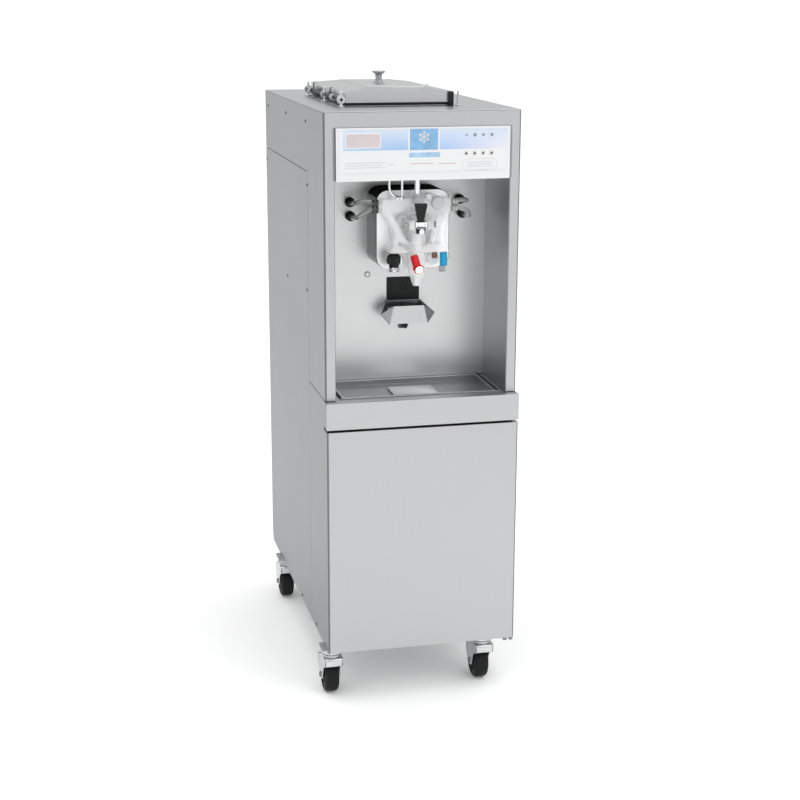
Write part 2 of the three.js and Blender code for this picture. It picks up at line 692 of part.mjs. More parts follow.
// Two thin steel tubes that come down from the header into the head's shoulders, held by one clip.
function feedTubes() {
  const r = 3.2;
  const outer = [
    [-66, SPOUT_Y + 8, 1318], [-66, SPOUT_Y + 8, 1290], [-66, SPOUT_Y + 8, 1268],
    [-64, SPOUT_Y + 8, 1256], [-56, SPOUT_Y + 10, 1247], [-45, SPOUT_Y + 14, ARM_TOP + GAP + r],
  ];
  const inner = [
    [-35, SPOUT_Y + 8, 1318], [-35, SPOUT_Y + 8, 1280], [-35, SPOUT_Y + 10, ARM_TOP + GAP],
  ];
  const clip = block(-72, -29, SPOUT_Y + 2, SPOUT_Y + 14, 1294, 1299);
  return join(sweptBar(outer, r, 10, 8), sweptBar(inner, r, 2, 8), clip);
}

function syrupPlug({ top, bottom }) {
  const length = new THREE.Vector3(...top).distanceTo(new THREE.Vector3(...bottom));
  const capLength = Math.min(16, length * 0.6);
  return turnedFrom(bottom, top, [
    [0, 0], [9, 0], [10.5, 2], [10.5, capLength], [8.5, capLength + 2], [8.5, length], [0, length],
  ]);
}

addPart('dispensing_head', dispensingHead(), CLEAR_PLASTIC);
addPart('draw_handle', drawHandle(), BLACK_PLASTIC);
addPart('draw_handle_pin', rod('x', [HANDLE_PIVOT_Y, HANDLE_PIVOT_Z], 3, -EAR_HALF - 8, EAR_HALF + 8, 16),
  POLISHED_STEEL);
addPart('draw_valve', drawValve(), WHITE_PLASTIC);
addPart('spinner_shaft', spinnerShaft(), POLISHED_STEEL);
addPart('spinner_motor', spinnerMotor(), BLACK_PAINT);
addPart('feed_tubes', feedTubes(), POLISHED_STEEL);
for (const [place, plug] of Object.entries(PLUGS)) {
  addPart(`syrup_plug_${place}`, syrupPlug(plug), plug.material);
}

// ---------------------------------------------------------------- syrup ports and their hoses

const PORT_FRONT = -243;

const syrupPort = ([x, z]) => turned('y', [x, z], [
  [0, PORT_FRONT], [8.5, PORT_FRONT], [9.5, PORT_FRONT + 2], [9.5, PORT_FRONT + 14], [11.5, PORT_FRONT + 15],
  [11.5, BAY_BACK - GAP], [PORT_STEM_R, BAY_BACK - GAP], [PORT_STEM_R, BAY_BACK + 14], [0, BAY_BACK + 14],
], 16);

// Each hose leaves its port towards the front and bends round into the side of the head's shoulder.
function syrupHose([x, z], endHeight, rise) {
  const side = Math.sign(x);
  const start = PORT_FRONT - GAP;
  const endX = side * (90 + GAP);
  const points = [
    [x, start, z],
    [x, start - 12, z],
    [x, start - 28, z + rise * 0.5],
    [x - side * 3, start - 52, z + rise],
    [x - side * 16, start - 76, (z + endHeight) / 2 + rise],
    [endX + side * 14, -336, endHeight + rise * 0.3],
    [endX + side * 5, -338, endHeight],
  ];
  return sweptBar(points, 5.8, 12, 8);
}

const HOSE_ENDS = [
  { height: 1228, rise: 8 },
  { height: 1212, rise: 6 },
  { height: 1228, rise: 5 },
  { height: 1212, rise: 4 },
];

SYRUP_PORTS.forEach((port, index) => {
  const { height, rise } = HOSE_ENDS[index];
  addPart(`syrup_port_${index + 1}`, syrupPort(port), BLACK_PLASTIC);
  addPart(`syrup_hose_${index + 1}`, syrupHose(port, height, rise), CLEAR_PLASTIC);
});

// ---------------------------------------------------------------- cup rest

const GUIDE_FRONT = BAY_BACK - 3.3;
const CUP_REST_FRONT = GUIDE_FRONT - GAP;
const CUP_REST_KNOB_Z = 908;

function cupGuidePlate() {
  return cut(
    block(-41.5, 41.5, GUIDE_FRONT, BAY_BACK - GAP, 969, 1027),
    rod('y', [0, 1003], 7, GUIDE_FRONT - 2, BAY_BACK + 2, 16),
  );
}

// Cup rest: a leg and a strap on the splash panel, two splayed wings, and a front plate with a flange to each wing.
function cupHolder() {
  const t = 2;
  const back = CUP_REST_FRONT;
  const face = back - t;
  const plateY = -281;
  const strapBottom = 950;
  const strapTop = 969;
  const plateTop = { x: 38, z: 965 };
  const plateBottom = { x: 48, z: 921 };
  const apex = { x: 68, y: -270, z: 945 };
  const leg = block(-11, 11, face, back, CUP_REST_KNOB_Z - 11, strapBottom + 6);
  const strap = block(-43, 43, face, back, strapBottom, strapTop);
  const nub = (side, { x, y = plateY, z }) => [
    [side * x, y, z], [side * (x - t), y, z], [side * x, y + t, z], [side * (x - t), y + t, z],
  ];
  const bent = (side, ...corners) => hull(corners.flatMap((corner) => nub(side, corner)));
  const plate = hull([-1, 1].flatMap((side) => [...nub(side, plateTop), ...nub(side, plateBottom)]));
  const wings = [-1, 1].flatMap((side) => [
    bent(side, plateTop, plateBottom, apex),
    bent(side, { x: 43, y: face, z: strapTop }, apex, plateBottom),
    bent(side, { x: 43, y: face, z: strapTop }, { x: 43, y: face, z: strapBottom }, plateBottom),
  ]);
  return join(leg, strap, plate, ...wings);
}

addPart('cup_guide_plate', cupGuidePlate(), BLACK_PAINT);
addPart('cup_holder', cupHolder(), STAINLESS);
addPart('cup_holder_knob', turned('y', [0, CUP_REST_KNOB_Z], [
  [0, -238], [7, -238], [9, -236], [9, -229], [5, -227], [5, CUP_REST_FRONT - 2 - GAP], [0, CUP_REST_FRONT - 2 - GAP],
], 12), STAINLESS_DARK);

// ---------------------------------------------------------------- hopper, lid and lid hinge rod

const HOPPER_RIM_TOP = CABINET_TOP + 3;

function hopperTank() {
  const wall = 2;
  const rim = 8;
  const { x0, x1, y0, y1 } = HOPPER;
  const drainY = -200;
  return cut(
    join(
      block(x0, x1, y0, y1, HOPPER_BOTTOM, HOPPER_RIM_TOP),
      block(x0 - rim, x1 + rim, y0 - rim, y1 + rim, CABINET_TOP + GAP, HOPPER_RIM_TOP),
    ),
    block(x0 + wall, x1 - wall, y0 + wall, y1 - wall, HOPPER_BOTTOM + wall, HOPPER_RIM_TOP + 10),
    rod('z', [0, drainY], 11, HOPPER_BOTTOM - 5, HOPPER_BOTTOM + 10, 16),
  );
}

const LID_KNUCKLES = [-200, 90];
const LID_POSTS = [-281, -77, 150];
const LID_SWING_CLEARANCE = 21; // how far the lid's edge stays from the rod's axis beside each post

// Hip-shaped lid with a hollow underside and two knuckles on the hinge rod.
function hopperLid() {
  const wall = 3;
  const corners = ({ x0, x1, y0, y1 }, z) => [[x0, y0, z], [x1, y0, z], [x0, y1, z], [x1, y1, z]];
  const outer = join(
    block(LID.x0, LID.x1, LID.y0, LID.y1, LID_RIM_BOTTOM, LID_RIM_TOP),
    hull([...corners(LID, LID_RIM_TOP), ...corners(LID_PLATEAU, LID_TOP)]),
  );
  const hollow = block(HOPPER.x0, HOPPER.x1, LID.y0 + wall, LID.y1 - wall,
    LID_RIM_BOTTOM - 1, LID_RIM_TOP - wall);
  const notchX = LID_ROD_X + LID_SWING_CLEARANCE;
  const notches = LID_POSTS.map((y) => block(LID.x0 - 1, notchX, y - 12, y + 12, LID_RIM_BOTTOM - 2, LID_TOP + 2));
  const knuckles = LID_KNUCKLES.map((y) => join(
    rod('y', [LID_ROD_X, LID_ROD_Z], 8, y, y + 26, 16),
    block(LID_ROD_X, LID.x0 + 1, y, y + 26, LID_ROD_Z - 4, LID_ROD_Z + 4),
  ));
  const rodBore = rod('y', [LID_ROD_X, LID_ROD_Z], LID_ROD_R + 0.3, LID.y0, LID.y1, 16);
  return cut(join(cut(outer, hollow, ...notches), ...knuckles), rodBore);
}

function lidHingeRod() {
  let body = rod('y', [LID_ROD_X, LID_ROD_Z], LID_ROD_R, LID_POSTS[0] - 8, LID_POSTS[2] + 8, 16);
  for (const y of LID_POSTS) {
    body = join(body, turned('z', [LID_ROD_X, y], [
      [0, CABINET_TOP + GAP], [10, CABINET_TOP + GAP], [10, CABINET_TOP + 3], [6.5, CABINET_TOP + 5],
      [6.5, CABINET_TOP + 33], [4, CABINET_TOP + 36], [0, CABINET_TOP + 36],
    ], 12));
  }
  return body;
}

const lidKnob = () => turned('z', [-21.5, -36.5], [
  [0, LID_TOP + GAP], [15, LID_TOP + GAP], [15, LID_TOP + 3], [9, LID_TOP + 5], [8.5, LID_TOP + 18],
  [18, LID_TOP + 27], [18.5, LID_TOP + 30], [0, LID_TOP + 31],
], 24);

addPart('hopper_tank', hopperTank(), STAINLESS);
addPart('hopper_lid', hopperLid(), STAINLESS);
addPart('lid_knob', lidKnob(), POLISHED_STEEL);
addPart('lid_hinge_rod', lidHingeRod(), BLACK_PAINT);

// ---------------------------------------------------------------- refrigeration and syrup jars

const compressor = () => join(
  turned('z', [-95, 120], [
    [0, 145], [82, 145], [86, 160], [86, 235], [72, 280], [40, 300], [0, 304],
  ], 24),
  block(-185, -5, 60, 180, CABINET_BOTTOM + 3 + GAP, 146),
);

const FAN = { x: 40, z: 320, r: 100, y0: 318, y1: 348 };

// Condenser core with its shroud, and the fan motor stub in the middle of the shroud.
function condenser() {
  const { x, z, r } = FAN;
  const half = 130;
  const shroudFront = 310;
  const coreBack = 425;
  const top = 460;
  const housing = cut(
    block(x - half, x + half, shroudFront, coreBack, CABINET_BOTTOM + 3 + GAP, top),
    rod('y', [x, z], r + 6, shroudFront - 10, 374, 28),
    block(x - half + 20, x + half - 20, shroudFront - 1, coreBack + 1, CABINET_BOTTOM, 160),
  );
  const motor = rod('y', [x, z], 26, 352, 377, 20);
  const shaft = rod('y', [x, z], 4, FAN.y0, 353, 12);
  return join(housing, motor, shaft);
}

function condenserFan() {
  const { x, z, r, y0, y1 } = FAN;
  const bladeCount = 5;
  let fan = rod('y', [x, z], 22, y0 + 2, y1, 20);
  for (let index = 0; index < bladeCount; index += 1) {
    const angle = (index * Math.PI * 2) / bladeCount;
    const corner = (radius, turn, y) => [
      x + radius * Math.cos(angle + turn), y, z + radius * Math.sin(angle + turn),
    ];
    fan = join(fan, hull([
      corner(18, 0, y0 + 6), corner(18, 0.5, y1 - 4), corner(r, 0.1, y0 + 4), corner(r, 0.65, y1 - 6),
      corner(18, 0, y0 + 8), corner(18, 0.5, y1 - 2), corner(r, 0.1, y0 + 6), corner(r, 0.65, y1 - 4),
    ]));
  }
  return cut(fan, rod('y', [x, z], 4.4, y0 - 5, y1 + 5, 12));
}

const JAR = { r: 40, bottom: CABINET_BOTTOM + 10, height: 175, y: -330 };

// Four capped syrup jars standing on one shallow pull-out rack.
function syrupRack() {
  const jarCount = 4;
  const pitch = 98;
  const rackHalf = 205;
  const rackBottom = CABINET_BOTTOM + 3 + GAP;
  let rack = cut(
    block(-rackHalf, rackHalf, JAR.y - 50, JAR.y + 50, rackBottom, JAR.bottom + 25),
    block(-rackHalf + 2, rackHalf - 2, JAR.y - 48, JAR.y + 48, JAR.bottom, JAR.bottom + 30),
  );
  for (let index = 0; index < jarCount; index += 1) {
    const x = (index - (jarCount - 1) / 2) * pitch;
    const top = JAR.bottom + JAR.height;
    rack = join(rack, turned('z', [x, JAR.y], [
      [0, JAR.bottom - 1], [JAR.r, JAR.bottom - 1], [JAR.r, top - 20], [26, top - 8], [26, top], [30, top],
      [30, top + 16], [0, top + 16],
    ], 16));
  }
  return rack;
}

addPart('compressor', compressor(), BLACK_PAINT);
addPart('condenser', condenser(), COPPER_FINS);
addPart('condenser_fan', condenserFan(), BLACK_PLASTIC);
addPart('syrup_rack', syrupRack(), WHITE_PLASTIC);

// ---------------------------------------------------------------- service door

// Door pan: a plain face with turned-back edges; the rear hinge corner is round about the hinge axis.
function lowerDoor() {
  const back = DOOR_FRONT + DOOR_DEPTH;
  const bottom = CABINET_BOTTOM;
  const cornerX = DOOR_HALF_W - DOOR_CORNER_R;
  const plan = new THREE.Shape();
  plan.moveTo(-DOOR_HALF_W, DOOR_FRONT);
  plan.lineTo(DOOR_HALF_W, DOOR_FRONT);
  plan.lineTo(DOOR_HALF_W, HINGE_Y);
  plan.absarc(cornerX, HINGE_Y, DOOR_CORNER_R, 0, Math.PI / 2, false);
  plan.lineTo(-DOOR_HALF_W, back);
  const hollow = block(-DOOR_HALF_W + SHEET, HINGE_X - 12, DOOR_FRONT + SHEET, back + 1,
    bottom + SHEET, DOOR_TOP - SHEET);
  const pinHole = rod('z', [HINGE_X, HINGE_Y], 3.4, bottom - 1, bottom + 18, 16);
  return cut(planPrism(plan, bottom, DOOR_TOP), hollow, pinHole);
}

addPart('lower_door', lowerDoor(), STAINLESS);

// ---------------------------------------------------------------- casters

// Hooded swivel fork with its axle; the wheel trails behind the kingpin.
function casterFork(x, y) {
  const axleY = y + CASTER_TRAIL;
  const inner = WHEEL_HALF_WIDTH + 2;
  const outer = inner + 3;
  const hoodTop = 108;
  const hood = sidePlate([
    [y - 32, 88], [y - 32, hoodTop], [y + 22, hoodTop], [axleY + 30, 92], [axleY + 36, 66],
    [axleY + 12, 33], [axleY - 12, 33], [y - 4, 76],
  ], x - outer, x + outer);
  const slot = block(x - inner, x + inner, y - 60, y + 120, 20, hoodTop - 4);
  const race = rod('z', [x, y], 24, hoodTop - 1, CASTER_TOP, 20);
  const kingpinHole = rod('z', [x, y], 7, hoodTop - 10, CASTER_TOP + 5, 16);
  const axle = rod('x', [axleY, WHEEL_R], 5, x - outer - 4, x + outer + 4, 12);
  return join(cut(join(hood, race), slot, kingpinHole), axle);
}

const casterWheel = (x, y) => {
  const tread = WHEEL_HALF_WIDTH - 5;
  const wheel = turned('x', [y + CASTER_TRAIL, WHEEL_R], [
    [0, x - WHEEL_HALF_WIDTH], [30, x - WHEEL_HALF_WIDTH], [WHEEL_R - 4, x - WHEEL_HALF_WIDTH + 1],
    [WHEEL_R, x - tread], [WHEEL_R, x + tread], [WHEEL_R - 4, x + WHEEL_HALF_WIDTH - 1],
    [30, x + WHEEL_HALF_WIDTH], [0, x + WHEEL_HALF_WIDTH],
  ], 24);
  return cut(wheel, rod('x', [y + CASTER_TRAIL, WHEEL_R], 5.5, x - 40, x + 40, 12));
};

for (const [place, [x, y]] of Object.entries(CASTERS)) {
  addPart(`caster_fork_${place}`, casterFork(x, y), GALVANISED);
  addPart(`caster_wheel_${place}`, casterWheel(x, y), BLACK_RUBBER);
}

export default model;
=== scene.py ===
"""Looks for the soft-serve and shake freezer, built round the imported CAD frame.
Metres, +Z up, the front faces -Y. Shapes are written in millimetres and scaled once when a piece is made."""

import json
from math import cos, pi, radians, sin, tau

import bmesh
import bpy
from mathutils import Matrix, Quaternion, Vector

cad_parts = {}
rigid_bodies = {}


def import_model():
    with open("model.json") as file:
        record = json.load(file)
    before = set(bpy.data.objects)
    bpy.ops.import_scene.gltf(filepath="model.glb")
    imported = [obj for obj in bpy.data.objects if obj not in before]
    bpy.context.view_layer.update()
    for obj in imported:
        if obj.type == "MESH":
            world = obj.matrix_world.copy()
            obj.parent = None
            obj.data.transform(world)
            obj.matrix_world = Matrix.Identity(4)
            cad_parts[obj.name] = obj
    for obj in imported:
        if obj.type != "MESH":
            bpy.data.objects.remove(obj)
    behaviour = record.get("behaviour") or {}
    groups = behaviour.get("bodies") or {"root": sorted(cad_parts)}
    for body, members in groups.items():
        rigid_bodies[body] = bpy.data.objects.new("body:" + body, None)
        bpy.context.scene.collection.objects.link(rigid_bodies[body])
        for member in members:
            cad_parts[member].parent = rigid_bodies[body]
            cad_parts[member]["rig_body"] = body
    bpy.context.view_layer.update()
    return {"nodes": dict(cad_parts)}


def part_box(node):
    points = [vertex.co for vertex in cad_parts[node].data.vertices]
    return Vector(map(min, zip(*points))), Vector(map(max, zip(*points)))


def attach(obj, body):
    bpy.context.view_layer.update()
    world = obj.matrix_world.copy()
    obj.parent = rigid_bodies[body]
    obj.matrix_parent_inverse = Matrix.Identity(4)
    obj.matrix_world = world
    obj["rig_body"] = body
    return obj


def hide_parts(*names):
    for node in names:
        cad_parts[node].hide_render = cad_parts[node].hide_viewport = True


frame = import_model()
nodes = frame["nodes"]
scene = bpy.context.scene
MM = 0.001
RIGHT, BACK, UP, FORWARD = (1, 0, 0), (0, 1, 0), (0, 0, 1), (0, -1, 0)


def span(node):
    """x0, y0, z0, x1, y1, z1 of a CAD node at rest, in millimetres."""
    low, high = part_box(node)
    return [c / MM for c in (*low, *high)]


def middle(node):
    """The middle of a CAD node's box, in millimetres."""
    low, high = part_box(node)
    return [c / MM for c in (low + high) / 2]


# ---- materials

# Grains to a metre along X, Y and Z; few along an axis draws them out into streaks that way.
UPRIGHT, ACROSS, LONGWAYS = (900, 900, 12), (12, 900, 900), (900, 12, 900)
STEEL = dict(metallic=1.0, tint=0.022, swing=0.045, bump=0.06, depth=0.04, cloud=2.5, cloud_tint=0.02)
# The first colour is a painted highlight, glowing on the end of the red plug.
HIGHLIGHT_COLOUR, WHITE = (1.0, 0.8, 0.68, 1), (1, 1, 1, 1)

# Each look: its material slot, colour, roughness, grain, and what else differs from a plain finish.
LOOKS = {
    "front_steel": ("stainless_front", (0.475, 0.482, 0.488), 0.36, UPRIGHT, STEEL),
    "band_steel": ("stainless_front", (0.485, 0.492, 0.498), 0.36, ACROSS, STEEL),
    # Painted shade: a darker copy of the front steel for faces that look sideways.
    "sideways_shaded_steel": ("stainless_side", (0.272, 0.277, 0.282), 0.42, UPRIGHT, STEEL),
    "deck_steel": ("stainless_front", (0.43, 0.436, 0.442), 0.34, LONGWAYS, STEEL),
    "tank_steel": ("stainless_liner", (0.43, 0.436, 0.442), 0.34, LONGWAYS, STEEL),
    "liner_steel": ("stainless_liner", (0.605, 0.613, 0.615), 0.33, UPRIGHT, STEEL),
    # Painted shade: a darker copy of the liner steel for the bay's side walls.
    "wall_shaded_steel": ("stainless_liner", (0.37, 0.375, 0.38), 0.36, UPRIGHT, STEEL),
    "tray_steel": ("stainless_tray", (0.32, 0.324, 0.328), 0.34, ACROSS, STEEL),
    "plate_steel": ("stainless_liner", (0.7, 0.705, 0.71), 0.38, ACROSS, STEEL),
    "lid_steel": ("stainless_front", (0.5, 0.506, 0.51), 0.3, ACROSS, STEEL),
    "wing_steel": ("stainless_front", (0.4, 0.405, 0.41), 0.32, ACROSS, STEEL),
    # Painted shade: a much darker copy of the front steel for the rounded front corners.
    "corner_shaded_steel": ("stainless_front", (0.17, 0.173, 0.177), 0.36, UPRIGHT, STEEL),
    # Painted shade and painted dark reflection: a near-black copy of the steel for the housing's sides, the
    # seam backing and the cup rest's leg and strap.
    "near_black_shaded_steel": ("stainless_front", (0.1, 0.102, 0.105), 0.3, UPRIGHT, STEEL),
    # Painted light: a much lighter copy of the steel for the housing, whose front lies in the shade of the
    # head and the bay.
    "painted_light_steel": ("stainless_front", (0.86, 0.865, 0.87), 0.4, ACROSS, STEEL),
    "knob_steel": ("polished_steel", (0.36, 0.365, 0.37), 0.26, 300, STEEL),
    # Painted light: a lighter, partly diffuse copy of the steel for the cup rest's plate and the strap's top.
    "painted_light_rest_steel": ("stainless_front", (0.61, 0.615, 0.62), 0.5, ACROSS,
        dict(metallic=0.35, tint=0.02, cloud=6)),
    "chrome": ("polished_steel", (0.78, 0.79, 0.8), 0.12, 400,
        dict(metallic=1.0, tint=0.02, swing=0.03, bump=0.02)),
    "zinc": ("galvanised", (0.5, 0.515, 0.52), 0.42, 60,
        dict(metallic=0.9, tint=0.1, swing=0.08, bump=0.06, cloud=18, cloud_tint=0.06)),
    "bright_zinc": ("caster_zinc", (0.62, 0.63, 0.64), 0.3, 200,
        dict(metallic=1.0, tint=0.05, swing=0.06, cloud=30, cloud_tint=0.05)),
    "dull_zinc": ("caster_zinc", (0.26, 0.265, 0.27), 0.45, 500, dict(metallic=0.9, tint=0.1)),
    "copper": ("condenser_fins", (0.62, 0.3, 0.18), 0.3, 150, dict(metallic=1.0, tint=0.08, swing=0.08)),
    "fin_metal": ("condenser_fins", (0.62, 0.63, 0.64), 0.45, (40, 40, 500), dict(metallic=0.9, tint=0.08)),
    "white_plastic": ("white_plastic", (0.7, 0.705, 0.715), 0.38, 900,
        dict(tint=0.012, bump=0.1, depth=0.05, Coat_Weight=0.15)),
    "white_film": ("printed_overlay", (0.7, 0.705, 0.71), 0.34, 1500,
        dict(tint=0.008, bump=0.04, cloud=30, cloud_tint=0.01, Coat_Weight=0.25)),
    "printed_band": ("printed_overlay", (1, 1, 1), 0.36, 1500,
        dict(tint=0.008, bump=0.04, cloud=30, cloud_tint=0.01, Coat_Weight=0.25)),
    "ink_dark": ("printed_overlay", (0.16, 0.17, 0.2), 0.4, 2000, dict(tint=0.1)),
    "ink_grey": ("printed_overlay", (0.52, 0.56, 0.62), 0.4, 2000, dict(tint=0.03, cloud=40)),
    "ink_rose": ("printed_overlay", (0.56, 0.44, 0.44), 0.4, 2000, dict(tint=0.03, cloud=40)),
    "ink_sky": ("printed_overlay", (0.19, 0.38, 0.6), 0.4, 2000,
        dict(tint=0.03, cloud=50, cloud_tint=0.12)),
    "ink_title": ("printed_overlay", (0.32, 0.5, 0.68), 0.4, 2000,
        dict(tint=0.03, cloud=60, cloud_tint=0.15)),
    "display_tint": ("display_window", (0.56, 0.5, 0.51), 0.16, 700,
        dict(tint=0.02, cloud=20, cloud_tint=0.03, Coat_Weight=0.4)),
    "pale_plastic": ("white_plastic", (0.5, 0.507, 0.515), 0.35, 900, dict(tint=0.02)),
    "grey_plastic": ("clear_plastic", (0.5, 0.51, 0.52), 0.35, 900, dict(tint=0.03)),
    "grey_rubber": ("black_plastic", (0.06, 0.06, 0.062), 0.5, 600, dict(tint=0.2, bump=0.2)),
    "black_plastic": ("black_plastic", (0.008, 0.0085, 0.009), 0.42, 1200,
        dict(tint=0.15, bump=0.15, Specular_IOR_Level=0.25)),
    "black_paint": ("black_paint", (0.008, 0.009, 0.010), 0.42, 500,
        dict(tint=0.12, swing=0.08, bump=0.2, cloud=12, cloud_tint=0.12, Specular_IOR_Level=0.25)),
    # Painted shade: a flat near-black for the bay's ceiling, the housing's top and the guide plate's hole.
    "painted_shade_black": ("black_paint", (0.012, 0.012, 0.013), 0.8, 800, dict(tint=0.2, bump=0.3)),
    "rubber": ("black_rubber", (0.006, 0.006, 0.0065), 0.62, 700,
        dict(tint=0.25, swing=0.1, bump=0.25, cloud=25, cloud_tint=0.2, Specular_IOR_Level=0.25)),
    "hub_plastic": ("black_rubber", (0.03, 0.031, 0.033), 0.45, 900, dict(tint=0.2, bump=0.1)),
    "red_plastic": ("red_plastic", (0.54, 0.008, 0.014), 0.34, 900, dict(tint=0.05, Specular_IOR_Level=0.3)),
    "tan_plastic": ("tan_plastic", (0.2, 0.12, 0.08), 0.35, 900, dict(tint=0.06)),
    "blue_plastic": ("blue_plastic", (0.008, 0.3, 0.52), 0.34, 900, dict(tint=0.05, Specular_IOR_Level=0.3)),
    # Painted highlight: a glowing cap end on the red plug, which is no lamp.
    "painted_highlight_plastic": ("red_plastic", (1.0, 0.86, 0.76), 0.25, 900,
        dict(tint=0.01, Emission_Color=HIGHLIGHT_COLOUR, Emission_Strength=1.6)),
    "foam": ("insulation_jacket", (0.045, 0.047, 0.05), 0.9, 350, dict(tint=0.3, bump=0.6, depth=0.6)),
    "jar_plastic": ("jar_plastic", (0.8, 0.82, 0.83), 0.35, 500,
        dict(tint=0.03, cloud=14, cloud_tint=0.05, Transmission_Weight=0.35)),
    # Painted light: the dispensing head glows faintly white.
    "clear_plastic": ("clear_plastic", (0.97, 0.975, 0.98), 0.12, 120,
        dict(tint=0.008, swing=0.03, bump=0.04, cloud=10, Transmission_Weight=0.2, IOR=1.3,
             Alpha=0.44, Emission_Color=WHITE, Emission_Strength=0.06)),
    "clear_hose": ("clear_hose", (0.86, 0.87, 0.87), 0.16, (100, 100, 400),
        dict(tint=0.03, swing=0.04, Transmission_Weight=0.7, IOR=1.43)),
    "floor_paint": (None, (0.95, 0.95, 0.95), 0.7, 30,
        dict(tint=0.004, bump=0.02, cloud=0.5, cloud_tint=0.004, Emission_Strength=0.08)),
}


def set_inputs(node, **values):
    """Sets a node's inputs by name, with _ for a space, and returns the node."""
    for name, value in values.items():
        node.inputs[name.replace("_", " ")].default_value = value
    return node


def spread(tree, source, **limits):
    """A Map Range node on a value; limits are its From and To inputs."""
    node = set_inputs(tree.nodes.new("ShaderNodeMapRange"), **limits)
    tree.links.new(source, node.inputs["Value"])
    return node.outputs["Result"]


def finish(name, colour, roughness, grain, metallic=0.0, tint=0.03, swing=0.05, bump=0.05, depth=0.1,
           cloud=4.0, cloud_tint=0.03, **sockets):
    """A Principled material with fine grain, slow cloudy variation, uneven roughness and a bump."""
    material = bpy.data.materials.new(name)
    material.use_nodes = True
    tree = material.node_tree
    shader = tree.nodes["Principled BSDF"]
    link = tree.links.new
    place = tree.nodes.new("ShaderNodeTexCoord")
    grains = grain if isinstance(grain, tuple) else (grain, grain, grain)
    stretch = set_inputs(tree.nodes.new("ShaderNodeMapping"), Scale=grains)
    link(place.outputs["Object"], stretch.inputs["Vector"])
    fine = set_inputs(tree.nodes.new("ShaderNodeTexNoise"), Scale=1.0, Detail=4.0, Roughness=0.6)
    link(stretch.outputs["Vector"], fine.inputs["Vector"])
    slow = set_inputs(tree.nodes.new("ShaderNodeTexNoise"), Scale=cloud, Detail=2.0)
    link(place.outputs["Object"], slow.inputs["Vector"])

    def ramp(noise, low, high):
        return spread(tree, noise.outputs["Fac"], From_Min=0.3, From_Max=0.7, To_Min=low, To_Max=high)

    gain = tree.nodes.new("ShaderNodeMath")
    gain.operation = "MULTIPLY"
    link(ramp(fine, 1 - tint, 1 + tint), gain.inputs[0])
    link(ramp(slow, 1 - cloud_tint, 1 + cloud_tint), gain.inputs[1])
    paint = tree.nodes.new("ShaderNodeVectorMath")
    paint.operation = "SCALE"
    paint.inputs[0].default_value = colour
    link(gain.outputs[0], paint.inputs["Scale"])
    link(paint.outputs["Vector"], shader.inputs["Base Color"])
    rough = tree.nodes.new("ShaderNodeMath")
    rough.operation = "ADD"
    link(ramp(fine, roughness - swing, roughness + swing), rough.inputs[0])
    link(ramp(slow, -swing / 2, swing / 2), rough.inputs[1])
    link(rough.outputs[0], shader.inputs["Roughness"])
    relief = set_inputs(tree.nodes.new("ShaderNodeBump"), Strength=bump, Distance=depth * MM)
    link(fine.outputs["Fac"], relief.inputs["Height"])
    link(relief.outputs["Normal"], shader.inputs["Normal"])
    set_inputs(shader, Metallic=metallic, **sockets)
    return material


def paint_sky(material, across, upright):
    """Prints a sky on a film: blue at the foot, paler towards the top, fading to white on the right."""
    tree = material.node_tree
    link = tree.links.new
    place = next(n for n in tree.nodes if n.bl_idname == "ShaderNodeTexCoord")
    split = tree.nodes.new("ShaderNodeSeparateXYZ")
    link(place.outputs["Object"], split.inputs["Vector"])

    def share(axis, low, high):
        return spread(tree, split.outputs[axis], From_Min=low * MM, From_Max=high * MM)

    colours = tree.nodes.new("ShaderNodeValToRGB")
    stops = colours.color_ramp.elements
    stops[0].position, stops[0].color = 0.0, (0.40, 0.57, 0.74, 1)
    stops[1].position, stops[1].color = 1.0, (0.69, 0.69, 0.72, 1)
    for position, colour in ((0.30, (0.30, 0.46, 0.70, 1)), (0.62, (0.34, 0.47, 0.74, 1)),
                             (0.80, (0.54, 0.58, 0.74, 1))):
        stops.new(position).color = colour
    link(share("X", *across), colours.inputs["Fac"])
    pale = tree.nodes.new("ShaderNodeMix")
    pale.data_type = "RGBA"
    pale.inputs["B"].default_value = (0.55, 0.63, 0.74, 1)
    link(share("Z", *upright), pale.inputs["Factor"])
    link(colours.outputs["Color"], pale.inputs["A"])
    paint = next(n for n in tree.nodes if n.bl_idname == "ShaderNodeVectorMath")
    link(pale.outputs["Result"], paint.inputs[0])


materials = {name: finish(name, colour, roughness, grain, **rest)
             for name, (_, colour, roughness, grain, rest) in LOOKS.items()}

# ---- mesh helpers

def rounded(points, r, steps=3, closed=False):
    """The same line with each corner turned into a small curve that starts r before it."""
    points = [Vector(p) for p in points]
    if not closed and len(points) < 3:
        return points
    line = [] if closed else [points[0]]
    for i in range(0 if closed else 1, len(points) if closed else len(points) - 1):
        a, p, b = points[i - 1], points[i], points[(i + 1) % len(points)]
        back, on = a - p, b - p
        start = p + back.normalized() * min(r, back.length / 2)
        end = p + on.normalized() * min(r, on.length / 2)
        for k in range(steps + 1):
            t = k / steps
            line.append(start * (1 - t) ** 2 + p * 2 * t * (1 - t) + end * t * t)
    if not closed:
        line.append(points[-1])
    return line


def rectangle(x0, x1, z0, z1, r, steps=5):
    """A rectangle's outline with round corners."""
    return rounded([(x0, z0), (x1, z0), (x1, z1), (x0, z1)], r, steps, closed=True)


def drum(r, height):
    """The profile of a plain solid cylinder."""
    return [(0, 0), (r, 0), (r, height), (0, height)]


def stud(r, shoulder, tip, height):
    """The profile of a cylinder that narrows from its shoulder to a flat tip."""
    return [(0, 0), (r, 0), (r, shoulder), (tip, height), (0, height)]


def ring(inner, outer, height):
    """The profile of a plain ring."""
    return [(inner, 0), (outer, 0), (outer, height), (inner, height), (inner, 0)]


